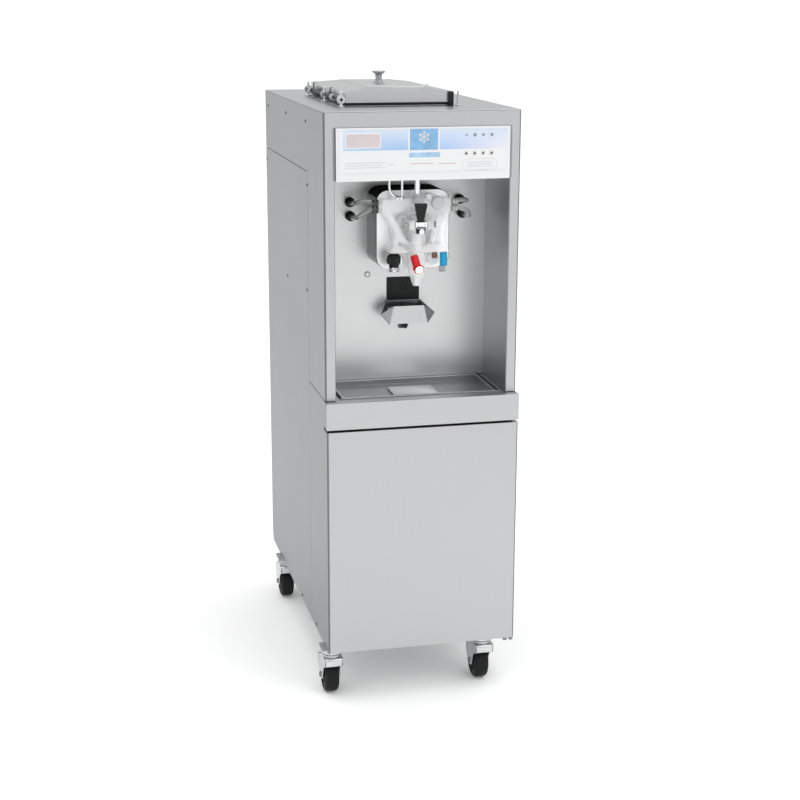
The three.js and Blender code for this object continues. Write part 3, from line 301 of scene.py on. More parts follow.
def mirrored(half, width):
    """A profile whose second half is the first one seen in a mirror, closed if it is clear of the axis."""
    profile = half + [(r, width - h) for r, h in reversed(half)]
    return profile + [half[0]] if half[0][0] else profile


def absorb(bm, other):
    """Adds a second bmesh to the first and frees it."""
    mesh = bpy.data.meshes.new("absorbed")
    other.to_mesh(mesh)
    other.free()
    bm.from_mesh(mesh)
    bpy.data.meshes.remove(mesh)


def circle(r, sides):
    """The points of a circle in a plane, anticlockwise."""
    return [(r * cos(tau * k / sides), r * sin(tau * k / sides)) for k in range(sides)]


def revolve(bm, origin, direction, profile, sides=48, soft=0.0):
    """Turns a profile of (radius, height) round an axis from origin; soft rounds the profile's corners."""
    turn = Vector(direction).to_track_quat("Z", "Y").to_matrix()
    if soft:
        profile = [tuple(p) for p in rounded(profile, soft)]
    rings = []
    for r, h in profile:
        points = circle(r, sides) if r > 1e-6 else [(r, 0)]
        rings.append([bm.verts.new(Vector(origin) + turn @ Vector((u, v, h))) for u, v in points])
    for low, high in zip(rings, rings[1:]):
        for i in range(sides):
            j = (i + 1) % sides
            corners = list(dict.fromkeys([low[i % len(low)], low[j % len(low)], high[j % len(high)],
                                          high[i % len(high)]]))
            if len(corners) > 2:
                bm.faces.new(corners)


def bevel_edges(bm, edges, width, segments=2):
    """Bevels some edges of a bmesh."""
    bmesh.ops.bevel(bm, geom=edges, offset=width, segments=segments, profile=0.5, affect="EDGES",
                    clamp_overlap=True)


PLANES = {"x": lambda u, v, w: (w, u, v), "y": lambda u, v, w: (u, w, v), "z": lambda u, v, w: (u, v, w)}


def prism(bm, outline, axis, start, end, bevel=0.0):
    """A flat outline pushed along an axis from start to end, with its edges bevelled."""
    own = bmesh.new()
    at = PLANES[axis]
    ends = [[own.verts.new(at(p[0], p[1], w)) for p in outline] for w in (start, end)]
    own.faces.new(ends[0])
    own.faces.new(list(reversed(ends[1])))
    for i in range(len(outline)):
        j = (i + 1) % len(outline)
        own.faces.new([ends[0][i], ends[1][i], ends[1][j], ends[0][j]])
    bmesh.ops.recalc_face_normals(own, faces=own.faces)
    if bevel:
        bevel_edges(own, [e for e in own.edges if e.calc_face_angle(0) > radians(40)], bevel)
    absorb(bm, own)


def block(bm, x0, x1, y0, y1, z0, z1, bevel=0.6):
    """A box with bevelled edges."""
    prism(bm, [(x0, y0), (x1, y0), (x1, y1), (x0, y1)], "z", z0, z1, bevel)


def smooth_line(points, per_span=8):
    """A Catmull-Rom curve through the points."""
    points = [Vector(p) for p in points]
    padded = [points[0] * 2 - points[1], *points, points[-1] * 2 - points[-2]]
    line = []
    for a, b, c, d in zip(padded, padded[1:], padded[2:], padded[3:]):
        for k in range(per_span):
            t = k / per_span
            line.append(0.5 * (2 * b + (c - a) * t + (2 * a - 5 * b + 4 * c - d) * t * t
                               + (3 * b - a - 3 * c + d) * t ** 3))
    line.append(points[-1])
    return line


def loft(bm, rings):
    """A closed skin through rings of the same number of points, with both ends filled."""
    made = [[bm.verts.new(p) for p in ring] for ring in rings]
    count = len(made[0])
    for low, high in zip(made, made[1:]):
        for k in range(count):
            bm.faces.new([low[k], low[(k + 1) % count], high[(k + 1) % count], high[k]])
    bm.faces.new(list(reversed(made[0])))
    bm.faces.new(made[-1])


def sweep(bm, points, radius, sides=16, per_span=8):
    """A round bar along a smooth curve."""
    line = smooth_line(points, per_span)
    side = (line[1] - line[0]).orthogonal().normalized()
    rings = []
    for i, p in enumerate(line):
        heading = (line[min(i + 1, len(line) - 1)] - line[max(i - 1, 0)]).normalized()
        side = (side - heading * side.dot(heading)).normalized()
        other = heading.cross(side)
        rings.append([p + side * u + other * v for u, v in circle(radius, sides)])
    loft(bm, rings)


def piece(name, bm, look, body="cabinet", node=None, angle=35, weighted=False):
    """Makes a shown piece from a bmesh in millimetres, riding on a body, in the look's material."""
    bmesh.ops.remove_doubles(bm, verts=bm.verts, dist=1e-3)
    bmesh.ops.recalc_face_normals(bm, faces=bm.faces)
    bm.transform(Matrix.Scale(MM, 4))
    mesh = bpy.data.meshes.new(name)
    bm.to_mesh(mesh)
    bm.free()
    mesh.polygons.foreach_set("use_smooth", [True] * len(mesh.polygons))
    mesh.set_sharp_from_angle(angle=radians(angle))
    obj = bpy.data.objects.new(name, mesh)
    scene.collection.objects.link(obj)
    mesh.materials.append(materials[look])
    if weighted:
        normals = obj.modifiers.new("normals", "WEIGHTED_NORMAL")
        normals.keep_sharp = True
        normals.weight = 100
    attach(obj, body)
    if node:
        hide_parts(node)
    return obj


def cad_copy(node):
    """A CAD node's mesh in a bmesh of its own, in millimetres."""
    bm = bmesh.new()
    bm.from_mesh(nodes[node].data)
    bm.transform(Matrix.Scale(1 / MM, 4))
    for face in bm.faces:
        face.material_index = 0
    return bm


def folded(node, name, look, width=0.9, roll=None, roll_r=0):
    """A CAD node's own shape with its flat faces joined up and its edges rolled, standing for the node.
    Edges whose two ends, in millimetres, make roll(a, b) true get the wider radius roll_r first."""
    bm = cad_copy(node)
    bmesh.ops.remove_doubles(bm, verts=bm.verts, dist=0.005)
    bmesh.ops.dissolve_limit(bm, angle_limit=radians(1), verts=bm.verts, edges=bm.edges)
    if roll:
        bevel_edges(bm, [e for e in bm.edges if roll(e.verts[0].co, e.verts[1].co)], roll_r, 6)
    bevel_edges(bm, [e for e in bm.edges if e.is_manifold and e.calc_face_angle() > radians(30)], width)
    return piece(name, bm, look, nodes[node]["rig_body"], node, weighted=True)


def turned(name, origin, direction, profile, look, body="cabinet", node=None, sides=48,
           soft=0.4):
    """A piece that is one turned profile."""
    bm = bmesh.new()
    revolve(bm, origin, direction, profile, sides, soft)
    return piece(name, bm, look, body, node)


def repaint(obj, look, chosen):
    """Gives another look to the faces whose normal and middle, in millimetres, are chosen."""
    mesh = obj.data
    mesh.materials.append(materials[look])
    for face in mesh.polygons:
        if chosen(face.normal, face.center / MM):
            face.material_index = len(mesh.materials) - 1


# ---- cabinet sheets

TOUCH, RIM = 0.1, 35


def front_corner(node):
    """Picks the upright edges at a node's two front corners."""
    x0, y0, _, x1, _, _ = span(node)
    return lambda a, b: (abs(a.y - y0) + abs(b.y - y0) < TOUCH and abs(a.z - b.z) > 100
                         and any(abs(a.x - x) + abs(b.x - x) < TOUCH for x in (x0, x1)))


def front_rim(node):
    """Picks the edges round a node's front face."""
    x0, y0, z0, x1, _, z1 = span(node)

    def inside(p):
        return x0 + RIM < p.x < x1 - RIM and z0 + RIM < p.z < z1 - RIM

    return lambda a, b: abs(a.y - y0) + abs(b.y - y0) < TOUCH and not inside(a) and not inside(b)


CORNER_R, HOUSING_R = 5.5, 9
# The housing takes a lighter copy of the steel, painted light on a front that the head and the bay shade.
sheets = {
    "shell": folded("upper_shell", "shell", "front_steel", 0.9, front_corner("upper_shell"), CORNER_R),
    "door": folded("lower_door", "door", "front_steel", 0.9, front_corner("lower_door"), CORNER_R),
    "housing": folded("freezer_housing", "housing", "painted_light_steel", 0.6, front_rim("freezer_housing"),
                      HOUSING_R),
}
for node, name, look, width in (
    # Painted shade: the side panels take the darker copy of the front steel.
    ("left_side_panel", "side_panel_left", "sideways_shaded_steel", 0.8),
    ("right_side_panel", "side_panel_right", "sideways_shaded_steel", 0.8),
    ("rear_panel", "rear_cover", "zinc", 0.7),
    ("top_deck", "deck", "deck_steel", 0.9),
    ("bay_liner", "liner", "liner_steel", 0.6),
    ("tray_apron", "front_band", "band_steel", 0.9),
    ("base_pan", "pan", "zinc", 0.8),
    ("fascia_panel", "fascia_moulding", "white_plastic", 1.4),
    ("fascia_overlay", "overlay_film", "white_film", 0.1),
    ("drip_tray", "tray", "tray_steel", 0.7),
    ("hopper_tank", "tank", "tank_steel", 0.8),
    ("hopper_lid", "lid", "lid_steel", 1.2),
    ("cup_guide_plate", "guide_plate", "black_paint", 0.8),
    ("gear_motor", "gearbox", "black_paint", 2.0),
    ("condenser", "condenser_block", "fin_metal", 1.0),
):
    sheets[name] = folded(node, name, look, width)

tray_x0, tray_y0, _, tray_x1, tray_y1, tray_top = span("drip_tray")
BAY_ROOF = 1200
# Painted shade: the sideways faces of the shell, door and front band take the darker copy of the front steel.
for name in ("shell", "door", "front_band"):
    repaint(sheets[name], "sideways_shaded_steel", lambda normal, at: abs(normal.x) > 0.8)
# Painted shade: the rounded front corners of the shell and the door are darkened.
for name in ("shell", "door"):
    repaint(sheets[name], "corner_shaded_steel", lambda normal, at: 0.25 < abs(normal.x) < 0.95 and normal.y < -0.2)
# Painted dark reflection: the housing's sides take near-black steel and its top flat black.
repaint(sheets["housing"], "near_black_shaded_steel", lambda normal, at: abs(normal.x) > 0.35)
repaint(sheets["housing"], "painted_shade_black", lambda normal, at: normal.z > 0.35)
# Painted highlight: the tray's upward rim faces take the lighter front steel.
repaint(sheets["tray"], "front_steel", lambda normal, at: normal.z > 0.9 and at.z > tray_top - 0.5)
# Painted shade: the bay's side walls are darker than its back, and its ceiling is flat near-black so that the
# housing's top reflects black.
repaint(sheets["liner"], "wall_shaded_steel", lambda normal, at: abs(normal.x) > 0.9)
repaint(sheets["liner"], "painted_shade_black", lambda normal, at: normal.z < -0.9 and at.z > BAY_ROOF)

# Painted shade: black rubber strips along the tray's side edges, where it meets the bay walls.
TRAY_SHADE_STRIP = 5
bm = bmesh.new()
for x in (tray_x0, tray_x1 - TRAY_SHADE_STRIP):
    block(bm, x, x + TRAY_SHADE_STRIP, tray_y0 + 4, tray_y1, tray_top, tray_top + 1.2, 0.4)
piece("tray_side_shade_strips", bm, "rubber", "drip_tray")


def screw(bm, origin, direction, r=4, rise=1.2):
    """A low round screw head with a dimple in it for the driver."""
    revolve(bm, origin, direction, [(0, -0.6), (r, -0.6), (r, rise * 0.4), (r * 0.72, rise), (r * 0.34, rise),
                                    (r * 0.3, rise * 0.2), (0, rise * 0.2)], 20)


side_x0, _, _, _, side_y1, side_z1 = span("left_side_panel")
right_x1 = span("right_side_panel")[3]
SIDE_SCREWS = ((392, 1410), (96, 1411), (-190, 1412), (-206, 1260), (-190, 998), (101, 984), (428, 1260),
               (-60, 141), (-268, 141))
for name, x, way in (("side_screws_left", side_x0, -1), ("side_screws_right", right_x1, 1)):
    bm = bmesh.new()
    for y, z in SIDE_SCREWS:
        screw(bm, (x, y, z), (way, 0, 0))
    piece(name, bm, "black_paint")

# Painted shade: near-black strips behind the side seams darken the seam gaps.
SEAM_Y, SEAM_FOOT, BACKING, SHEET_GAP = -205.8, 775, 1.0, 2.1
bm = bmesh.new()
for x in (side_x0 + SHEET_GAP, right_x1 - SHEET_GAP - BACKING):
    block(bm, x, x + BACKING, SEAM_Y - 8, SEAM_Y + 9, SEAM_FOOT, side_z1 + 10)
    block(bm, x, x + BACKING, SEAM_Y + 9, side_y1 - 4, side_z1 - 8, side_z1 + 10)
piece("seam_backing", bm, "near_black_shaded_steel")

REAR_MARGIN = 14
rear_x0, _, rear_z0, rear_x1, rear_y, rear_z1 = span("rear_panel")
bm = bmesh.new()
for x in (rear_x0 + REAR_MARGIN, (rear_x0 + rear_x1) / 2, rear_x1 - REAR_MARGIN):
    for z in (rear_z0 + REAR_MARGIN, (rear_z0 + rear_z1) / 2, rear_z1 - REAR_MARGIN):
        revolve(bm, (x, rear_y - 1, z), BACK, stud(3.4, 0.5, 2.2, 0.9), 20)
piece("rear_screws", bm, "bright_zinc")

_, door_y0, door_z0, door_x1, _, _ = span("lower_door")
bm = bmesh.new()
for x in (door_x1 - 6, door_x1 - 21):
    block(bm, x - 4.5, x + 4.5, door_y0 + 1.5, door_y0 + 16, door_z0 - 8, door_z0, 1.8)
piece("door_hinge_feet", bm, "dull_zinc", "service_door")

# ---- fascia

film_x0, film_y0, _, film_x1, _, _ = span("fascia_overlay")
PRINT = 0.12


def printed(name, look, outlines, layer=1):
    """Printed patches on the overlay; those of a higher layer lie in front of the others."""
    bm = bmesh.new()
    front = film_y0 - PRINT * layer
    for outline in outlines:
        prism(bm, outline, "y", front, front + PRINT)
    piece(name, bm, look)


def bar(x0, x1, z, height):
    """A printed bar's outline, standing for a line of lettering."""
    return rectangle(x0, x1, z - height / 2, z + height / 2, 0.3)


def flake(x, z, reach, width=1.8, arms=6):
    """The outlines of a plain six-armed snowflake."""
    outlines = []
    for u, v in circle(1, arms):
        along = Vector((-v, u))
        for start, length, turn in ((0, 1, 0), (0.5, 0.34, 0.9), (0.5, 0.34, -0.9)):
            way = Matrix.Rotation(turn, 2) @ along
            across = way.orthogonal() * width / 2
            a = Vector((x, z)) + along * start * reach
            b = a + way * length * reach
            outlines.append([a - across, b - across, b + across, a + across])
    return outlines


BAND_X, BAND_Z = (film_x0 + 10.5, film_x1 - 0.5), (1361, 1407.5)
PICTURE_X, PICTURE_Z, PICTURE_EDGE = (-34.5, 33), (1360.5, 1408.8), 4
paint_sky(materials["printed_band"], BAND_X, BAND_Z)
printed("print_band", "printed_band", [rectangle(*BAND_X, *BAND_Z, 0.5)])
printed("print_picture_frame", "white_film",
        [rectangle(PICTURE_X[0] - PICTURE_EDGE, PICTURE_X[1] + PICTURE_EDGE, *PICTURE_Z, 0.5)], 2)
printed("print_picture", "ink_sky", [rectangle(*PICTURE_X, *PICTURE_Z, 0.5)], 3)
printed("print_flake", "white_film", flake(sum(PICTURE_X) / 2, 1390, 15), 4)
x0, _, z0, x1, y1, z1 = span("display_window")
printed("display_frame", "white_film", [rectangle(x0 - 2.5, x1 + 2.5, z0 - 2, z1 + 3, 0.8)], 2)
bm = bmesh.new()
prism(bm, rectangle(x0, x1, z0, z1, 1.2), "y", film_y0 - PRINT * 4, y1, 0.2)
piece("display_pane", bm, "display_tint", node="display_window")

# Painted shade: dull metal strips fill the gaps beside the sign.
bm = bmesh.new()
fascia = span("fascia_panel")
frame_y = span("upper_shell")[1]
for x in (fascia[0] - 6.5, fascia[3] + 1.5):
    block(bm, x, x + 5, frame_y - 0.8, frame_y + 0.4, fascia[2] + 2, fascia[5] - 2, 0.3)
piece("fascia_gap_shades", bm, "dull_zinc")

KEYS = range(1, 5)
keys_x = [middle(f"control_key_{k}")[0] for k in KEYS]
printed("print_title", "ink_title", [bar(-36, 38, 1349, 11)])
printed("print_legends", "ink_grey", [
    bar(-190, -94, 1333, 2), bar(-188, -100, 1327.5, 2), bar(-190, -92, 1322, 2), bar(-84, -69, 1328, 2.2),
    bar(film_x0 + 3, film_x1 - 3, 1310.5, 0.7)])
printed("print_rose", "ink_rose", [bar(-32, 22, 1329, 2.2), bar(35, 76, 1328.5, 2.2)])
printed("print_pill", "ink_grey", [rectangle(91, 177, 1311, 1338, 13)])
printed("print_pill_face", "white_film", [rectangle(92.2, 175.8, 1312.2, 1336.8, 12)], 2)
printed("print_pill_legend", "ink_grey", [bar(102, 166, z, 1.8) for z in (1320, 1325, 1330)], 3)
SYMBOL_Z, SYMBOL_R, HEART = 1393, 4.2, 1.3
printed("print_symbols", "ink_dark", [[(x - v, SYMBOL_Z + u) for u, v in circle(SYMBOL_R, sides)]
                                      for x, sides in zip(keys_x, (3, 24, 4, 6))], 2)
printed("print_symbol_hearts", "ink_grey",
        [rectangle(x - HEART, x + HEART, SYMBOL_Z - HEART, SYMBOL_Z + HEART, 1.2) for x in keys_x], 3)
for k in KEYS:
    _, y0, _, _, y1, _ = span(f"control_key_{k}")
    x, _, z = middle(f"control_key_{k}")
    deep = y1 - y0
    turned(f"key_cap_{k}", (x, y1, z), FORWARD,
           [(0, 0), (6, 0), (6, 1.5), (4.3, 1.6), (4.3, deep - 0.7), (3.9, deep - 0.4), (0, deep - 0.2)],
           "white_film", f"key_{k}", f"control_key_{k}", 32, 0.2)
    turned(f"key_dot_{k}", (x, y0 + 0.5, z), FORWARD, stud(2.6, 0.3, 1.8, 0.5), "black_plastic", f"key_{k}",
           sides=24, soft=0.1)

# ---- splash plate

x0, y0, z0, x1, y1, z1 = span("splash_grid")
bm = bmesh.new()
prism(bm, rectangle(x0, x1, y0, y1, 4), "z", z0, z1 - 0.8, 0.4)
prism(bm, rectangle(x0 + 5, x1 - 5, y0 + 5, y1 - 5, 3), "z", z1 - 1.4, z1, 0.5)
piece("splash_plate", bm, "plate_steel", "splash_grid", "splash_grid")

# ---- barrel, beater and motors

_, barrel_y, _, _, barrel_y1, _ = span("freezing_cylinder")
barrel_x, _, barrel_z = middle("freezing_cylinder")
barrel_long = barrel_y1 - barrel_y
jacket_start = span("freezer_housing")[4] - barrel_y
turned("barrel_jacket", (barrel_x, barrel_y, barrel_z), BACK,
       [(52, 8), (57, 8), (57, jacket_start), (74, jacket_start), (74, barrel_long - 1), (10, barrel_long),
        (10, barrel_long - 8), (52, barrel_long - 8), (52, 8)],
       "foam", node="freezing_cylinder", sides=64)
turned("barrel_mouth", (barrel_x, barrel_y, barrel_z), BACK, ring(52.1, 57, 8), "chrome", sides=64)

BLADE_TURNS, BLADE_STEPS, BLADE_R, BLADE_ROOT = 1.25, 72, 49, 33
beater_y0, beater_y1 = span("beater")[1] + 2, span("beater")[4] - 42
bm = bmesh.new()
revolve(bm, (barrel_x, beater_y0 - 2, barrel_z), BACK, [(0, 0), (6, 0), (8, 3), (8, 360), (0, 360)], 32, 0.5)
for start in (0, pi):
    rings = []
    for k in range(BLADE_STEPS + 1):
        t = k / BLADE_STEPS
        angle = start + tau * BLADE_TURNS * t
        out = Vector((cos(angle), 0, sin(angle)))
        centre = Vector((barrel_x, beater_y0 + 6 + (beater_y1 - beater_y0 - 12) * t, barrel_z))
        rings.append([centre + out * r + Vector((0, y, 0))
                      for r, y in ((BLADE_ROOT, -2.5), (BLADE_R, -1.2), (BLADE_R, 1.2), (BLADE_ROOT, 2.5))])
    loft(bm, rings)
for y in (beater_y0 + 4, (beater_y0 + beater_y1) / 2, beater_y1 - 8):
    for u, v in circle(38, 3):
        sweep(bm, [(barrel_x, y, barrel_z), (barrel_x + u, y, barrel_z + v)], 3.2, 12, 1)
    revolve(bm, (barrel_x, y - 2, barrel_z), BACK, ring(BLADE_ROOT, 40, 4))
piece("beater_frame", bm, "chrome", "beater", "beater")

x0, y0, z0, x1, y1, _ = span("spinner_motor")
bm = bmesh.new()
revolve(bm, ((x0 + x1) / 2, y1 - 31, z0), UP,
        [(9, 0), (31, 0), (31, 30), (29.5, 31), (29.5, 34), (31, 35), (31, 70), (28, 88), (12, 95), (0, 95)],
        48, 0.6)
block(bm, x0 + 3, x1 - 3, y0 + 1, y1 - 1, z0, z0 + 8, 1.2)
piece("spinner_motor_case", bm, "black_paint", node="spinner_motor")

# ---- dispensing head

head_back = span("dispensing_head")[4]
spout_x, spout_y = middle("draw_valve")[:2]
SHOULDER_X, SHOULDER_Y, CHANNEL_R = 82, -341, 8.5
CHANNELS = {
    "left": [(-SHOULDER_X, SHOULDER_Y, 1226), (-64, -350, 1196), (-50, -358, 1156), (-57, -361, 1121)],
    "centre": [(-SHOULDER_X, SHOULDER_Y, 1212), (-54, -350, 1178), (-36, -362, 1142), (-16, -382, 1118)],
    "right_inner": [(SHOULDER_X, SHOULDER_Y, 1212), (56, -346, 1182), (44, -350, 1146), (46, -350, 1121)],
    "right_outer": [(SHOULDER_X, SHOULDER_Y, 1226), (70, -352, 1192), (60, -362, 1152), (64, -366, 1121)],
}
bm = cad_copy("dispensing_head")
for route in CHANNELS.values():
    sweep(bm, route, CHANNEL_R)
for side in (-1, 1):
    revolve(bm, (side * 50, head_back, 1226), FORWARD, stud(19, 28, 14, 34), 32)
    revolve(bm, (side * 44, head_back, 1092), FORWARD, stud(15, 26, 10, 30), 32)
head_block = piece("head_block", bm, "clear_plastic", node="dispensing_head")
head_block.data.set_sharp_from_angle(angle=pi)
melt = head_block.modifiers.new("melt", "REMESH")
melt.mode = "VOXEL"
melt.voxel_size = 1.7 * MM
melt.use_smooth_shade = True
ease = head_block.modifiers.new("ease", "SMOOTH")
ease.factor = 0.5
ease.iterations = 6

turned("hand_nut", (50, -356, 1228), FORWARD, [(0, 0), (15, 0), (16, 3), (16, 9), (13, 11), (0, 10)],
       "pale_plastic", soft=1.0)
turned("prime_cap", (27, spout_y, 1238), UP, [(0, 0), (9, 0), (9, 11), (7, 14), (0, 15)],
       "white_plastic", soft=1.0)

pin_x0 = span("draw_handle_pin")[0]
_, pivot_y, pivot_z = middle("draw_handle_pin")
turned("handle_pin", (pin_x0, pivot_y, pivot_z), RIGHT,
       [(0, 0), (5.5, 0), (5.5, 3), (3, 3.4), (3, 62), (8, 62.4), (8, 65), (3.6, 65.5), (3.6, 72), (8, 72.4),
        (8, 75), (0, 76)], "knob_steel", "draw_handle", "draw_handle_pin", sides=32, soft=0.3)

grip_top = span("draw_handle")[5]
GRIP_SECTIONS = ((pivot_z + 2, 6.5, -5, 6), (pivot_z + 20, 9.5, -6.5, 6), (pivot_z + 38, 13.2, -8, 6),
                 (grip_top - 2, 15, -8, 6), (grip_top, 13.4, -6.6, 4.8))
bm = bmesh.new()
loft(bm, [[Vector((x, pivot_y + y, z)) for x, y in rectangle(-half, half, front, back, 2.5, 4)]
          for z, half, front, back in GRIP_SECTIONS])
block(bm, -11, 11, pivot_y - 6, pivot_y + 4, pivot_z - 21, pivot_z - 10, 1.5)
piece("handle_grip", bm, "black_plastic", "draw_handle", "draw_handle")
bm = bmesh.new()
revolve(bm, (-14.5, pivot_y, pivot_z), RIGHT,
        mirrored([(3.3, 0), (8.5, 0), (9.5, 1), (9.5, 5), (8, 6)], 29), 40, 0.3)
revolve(bm, (0, pivot_y + 4, pivot_z - 15.5), FORWARD,
        [(0, 0), (4, 0), (4, 11), (6.8, 11.4), (6.8, 17.5), (5.5, 18.4), (0, 18.4)], 12, 0.3)
piece("handle_boss", bm, "chrome", "draw_handle")

_, _, valve_z0, _, _, valve_z1 = span("draw_valve")
valve_long = valve_z1 - valve_z0
turned("valve_piston", (spout_x, spout_y, valve_z0), UP,
       [(5.2, 0), (10.4, 0), (11, 1.5), (11, valve_long - 9), (13.4, valve_long - 8), (13.4, valve_long - 1),
        (12.4, valve_long), (5.2, valve_long), (5.2, 0)], "white_plastic", "draw_valve", "draw_valve")
shaft_z0 = span("spinner_shaft")[2]
turned("spinner_rod", (spout_x, spout_y, shaft_z0), UP,
       [(0, 0), (4.6, 0.4), (5.4, 1.4), (5.4, 6), (3.6, 8), (3.6, 194), (7.4, 196), (7.4, 288), (0, 288)],
       "chrome", "spinner", "spinner_shaft")
turned("spinner_collar", (spout_x, spout_y, shaft_z0 + 192), UP,
       [(4, 0), (11, 0), (12, 1.5), (12, 14), (10, 16), (8, 18), (8, 24), (4, 24), (4, 0)],
       "pale_plastic", "spinner")

tubes_x0, _, _, _, _, tubes_top = span("feed_tubes")
TUBE_Y, TUBE_R = spout_y + 8, 3.2
outer_x, inner_x = tubes_x0 + 6, -35
bm = bmesh.new()
sweep(bm, [(outer_x, TUBE_Y, tubes_top), (outer_x, TUBE_Y, 1290), (outer_x, TUBE_Y, 1264),
           (outer_x + 6, TUBE_Y + 1, 1251), (outer_x + 14, TUBE_Y + 3, 1245),
           (outer_x + 24, TUBE_Y + 6, 1241.6)], TUBE_R)
sweep(bm, [(inner_x, TUBE_Y, tubes_top), (inner_x, TUBE_Y, 1280), (inner_x, TUBE_Y + 2, 1238.3)], TUBE_R)
for x in (outer_x + 21, inner_x):
    revolve(bm, (x, TUBE_Y + 4, 1237.5), UP, stud(6.5, 5, 4, 7), 24, 0.4)
block(bm, tubes_x0, inner_x + 6, TUBE_Y - 6, TUBE_Y + 6, 1294, 1299, 0.8)
piece("feed_pipes", bm, "chrome", node="feed_tubes")


def plug(place, name, look, profile, foot=None, top=None):
    """A plug's turned body from foot to top; upright in the middle of its CAD node unless they are given."""
    node = f"syrup_plug_{place}"
    x, y, _ = middle(node)
    _, _, z0, _, _, z1 = span(node)
    foot = foot or (x, y, z0)
    top = top or (x, y, z1)
    turned(name, foot, Vector(top) - Vector(foot), profile, look, node=node, soft=0.8)


RED_FOOT, RED_TOP = (-8, -405, 1074), (-16, -391, 1109)
plug("left", "plug_black", "black_plastic",
     [(0, 6), (10.5, 6), (12, 8), (12, 14), (15.5, 15), (17, 17), (17, 31), (13, 35), (9, 39.4), (0, 39.4)])
plug("centre", "plug_red", "red_plastic",
     [(0, 6), (9, 6), (11.6, 4.5), (12, 7), (10.6, 10), (9.6, 12), (9.6, 34), (8, 38), (0, 38.4)],
     RED_FOOT, RED_TOP)
plug("right_inner", "plug_tan", "tan_plastic",
     [(0, 6), (5.5, 6), (6.8, 7.5), (6.8, 19), (5.5, 23.4), (0, 23.4)])
plug("right_outer", "plug_blue", "blue_plastic",
     [(0, 4), (7.6, 4), (9, 6), (9, 34), (8, 37.4), (0, 37.4)])
# Painted highlight: a glowing dome on the end of the red plug, in a red rim.
HIGHLIGHT_R, HIGHLIGHT_AIM = 10, (0.1, -0.8, -0.3)
highlight_place = Vector(RED_FOOT) + Vector((1, -2, 4))
turned("plug_highlight", highlight_place, HIGHLIGHT_AIM,
       [(HIGHLIGHT_R * sin(pi * k / 16), -HIGHLIGHT_R * cos(pi * k / 16)) for k in range(17)],
       "painted_highlight_plastic", soft=0)
turned("plug_highlight_rim", highlight_place, HIGHLIGHT_AIM,
       [(9.4, -1), (12, -1), (12.4, 1), (10.8, 4.6), (9.6, 4.4), (9.4, -1)], "red_plastic", soft=0.8)

left_x, left_y, _ = middle("syrup_plug_left")
bm = bmesh.new()
revolve(bm, (left_x - 19, left_y - 6, 1094), RIGHT,
        [(0, 0), (6, 0), (8, 2), (8, 8), (6.5, 10), (6.5, 38), (0, 38)], 24, 0.5)
revolve(bm, (left_x + 2, left_y - 10, 1098), FORWARD, stud(8.5, 8, 5, 11), 6, 0.5)
piece("plug_black_elbow", bm, "black_plastic")
bm = bmesh.new()
for z in (1067, 1071, 1075):
    revolve(bm, (left_x, left_y, z), UP, [(4, 0), (13, 0), (14, 1.2), (13, 2.4), (4, 2.4), (4, 0)], 32)
revolve(bm, (left_x + 15, left_y - 14, 1083), UP, drum(4, 22), 20, 0.4)
piece("plug_black_rings", bm, "chrome")
right_x, right_y, _ = middle("syrup_plug_right_outer")
bm = bmesh.new()
for z in (1063, 1067, 1071, 1075):
    revolve(bm, (right_x - 3, right_y, z), UP, [(0, 0), (8, 0), (9, 1.2), (8, 2.4), (0, 2.4)], 32)
piece("plug_blue_rings", bm, "grey_plastic")

# ---- syrup ports and hoses

HOSE_R, HOSE_END_Z, HOSE_END_Y = 5.8, (1212, 1228), -338
for k in range(1, 5):
    _, port_y0, _, _, port_y1, _ = span(f"syrup_port_{k}")
    x, _, z = middle(f"syrup_port_{k}")
    side = 1 if x > 0 else -1
    neck = port_y1 - port_y0 - 14.4
    turned(f"port_{k}", (x, port_y0, z), BACK,
           [(6, 0), (8.5, 0), (9.5, 2), (9.5, 7), (8.4, 8), (8.4, 10), (9.5, 11), (9.5, 14), (12, 16),
            (12, neck), (6, neck), (6, 0)], "black_plastic", node=f"syrup_port_{k}", sides=32)
    end_z = HOSE_END_Z[k % 2]
    rise = 9 - k
    end_x = side * (SHOULDER_X + 8.3)
    bm = bmesh.new()
    sweep(bm, [(x, port_y0 + 6, z), (x, port_y0 - 12, z), (x, port_y0 - 28, z + rise * 0.5),
               (x - side * 3, port_y0 - 52, z + rise), (x - side * 16, port_y0 - 76, (z + end_z) / 2 + rise),
               (end_x + side * 14, HOSE_END_Y + 2, end_z + rise * 0.3), (end_x, HOSE_END_Y, end_z)], HOSE_R)
    piece(f"hose_{k}", bm, "clear_hose", node=f"syrup_hose_{k}")
    turned(f"hose_end_{k}", (end_x + side * 15, HOSE_END_Y + 0.5, end_z), (-side, 0, 0),
           [(6, 0), (7.6, 0), (8.4, 1.5), (8.4, 5), (7, 6), (7, 8), (8.4, 9), (8.4, 14.5), (6, 14.5), (6, 0)],
           "grey_rubber" if side < 0 else "clear_hose", sides=32)

# ---- cup rest

_, rest_y0, rest_z0, _, rest_y1, rest_z1 = span("cup_holder")
REST_T, STRAP_HALF, STRAP_FOOT = 2, 43, 950
wall_y = rest_y1 - REST_T


def bent_sheet(bm, corners, thickness=REST_T):
    """A flat sheet through the corners, thickened away from the side they are seen from, anticlockwise."""
    corners = [Vector(c) for c in corners]
    inward = (corners[1] - corners[0]).cross(corners[2] - corners[1]).normalized() * -thickness
    loft(bm, [corners, [c + inward for c in corners]])


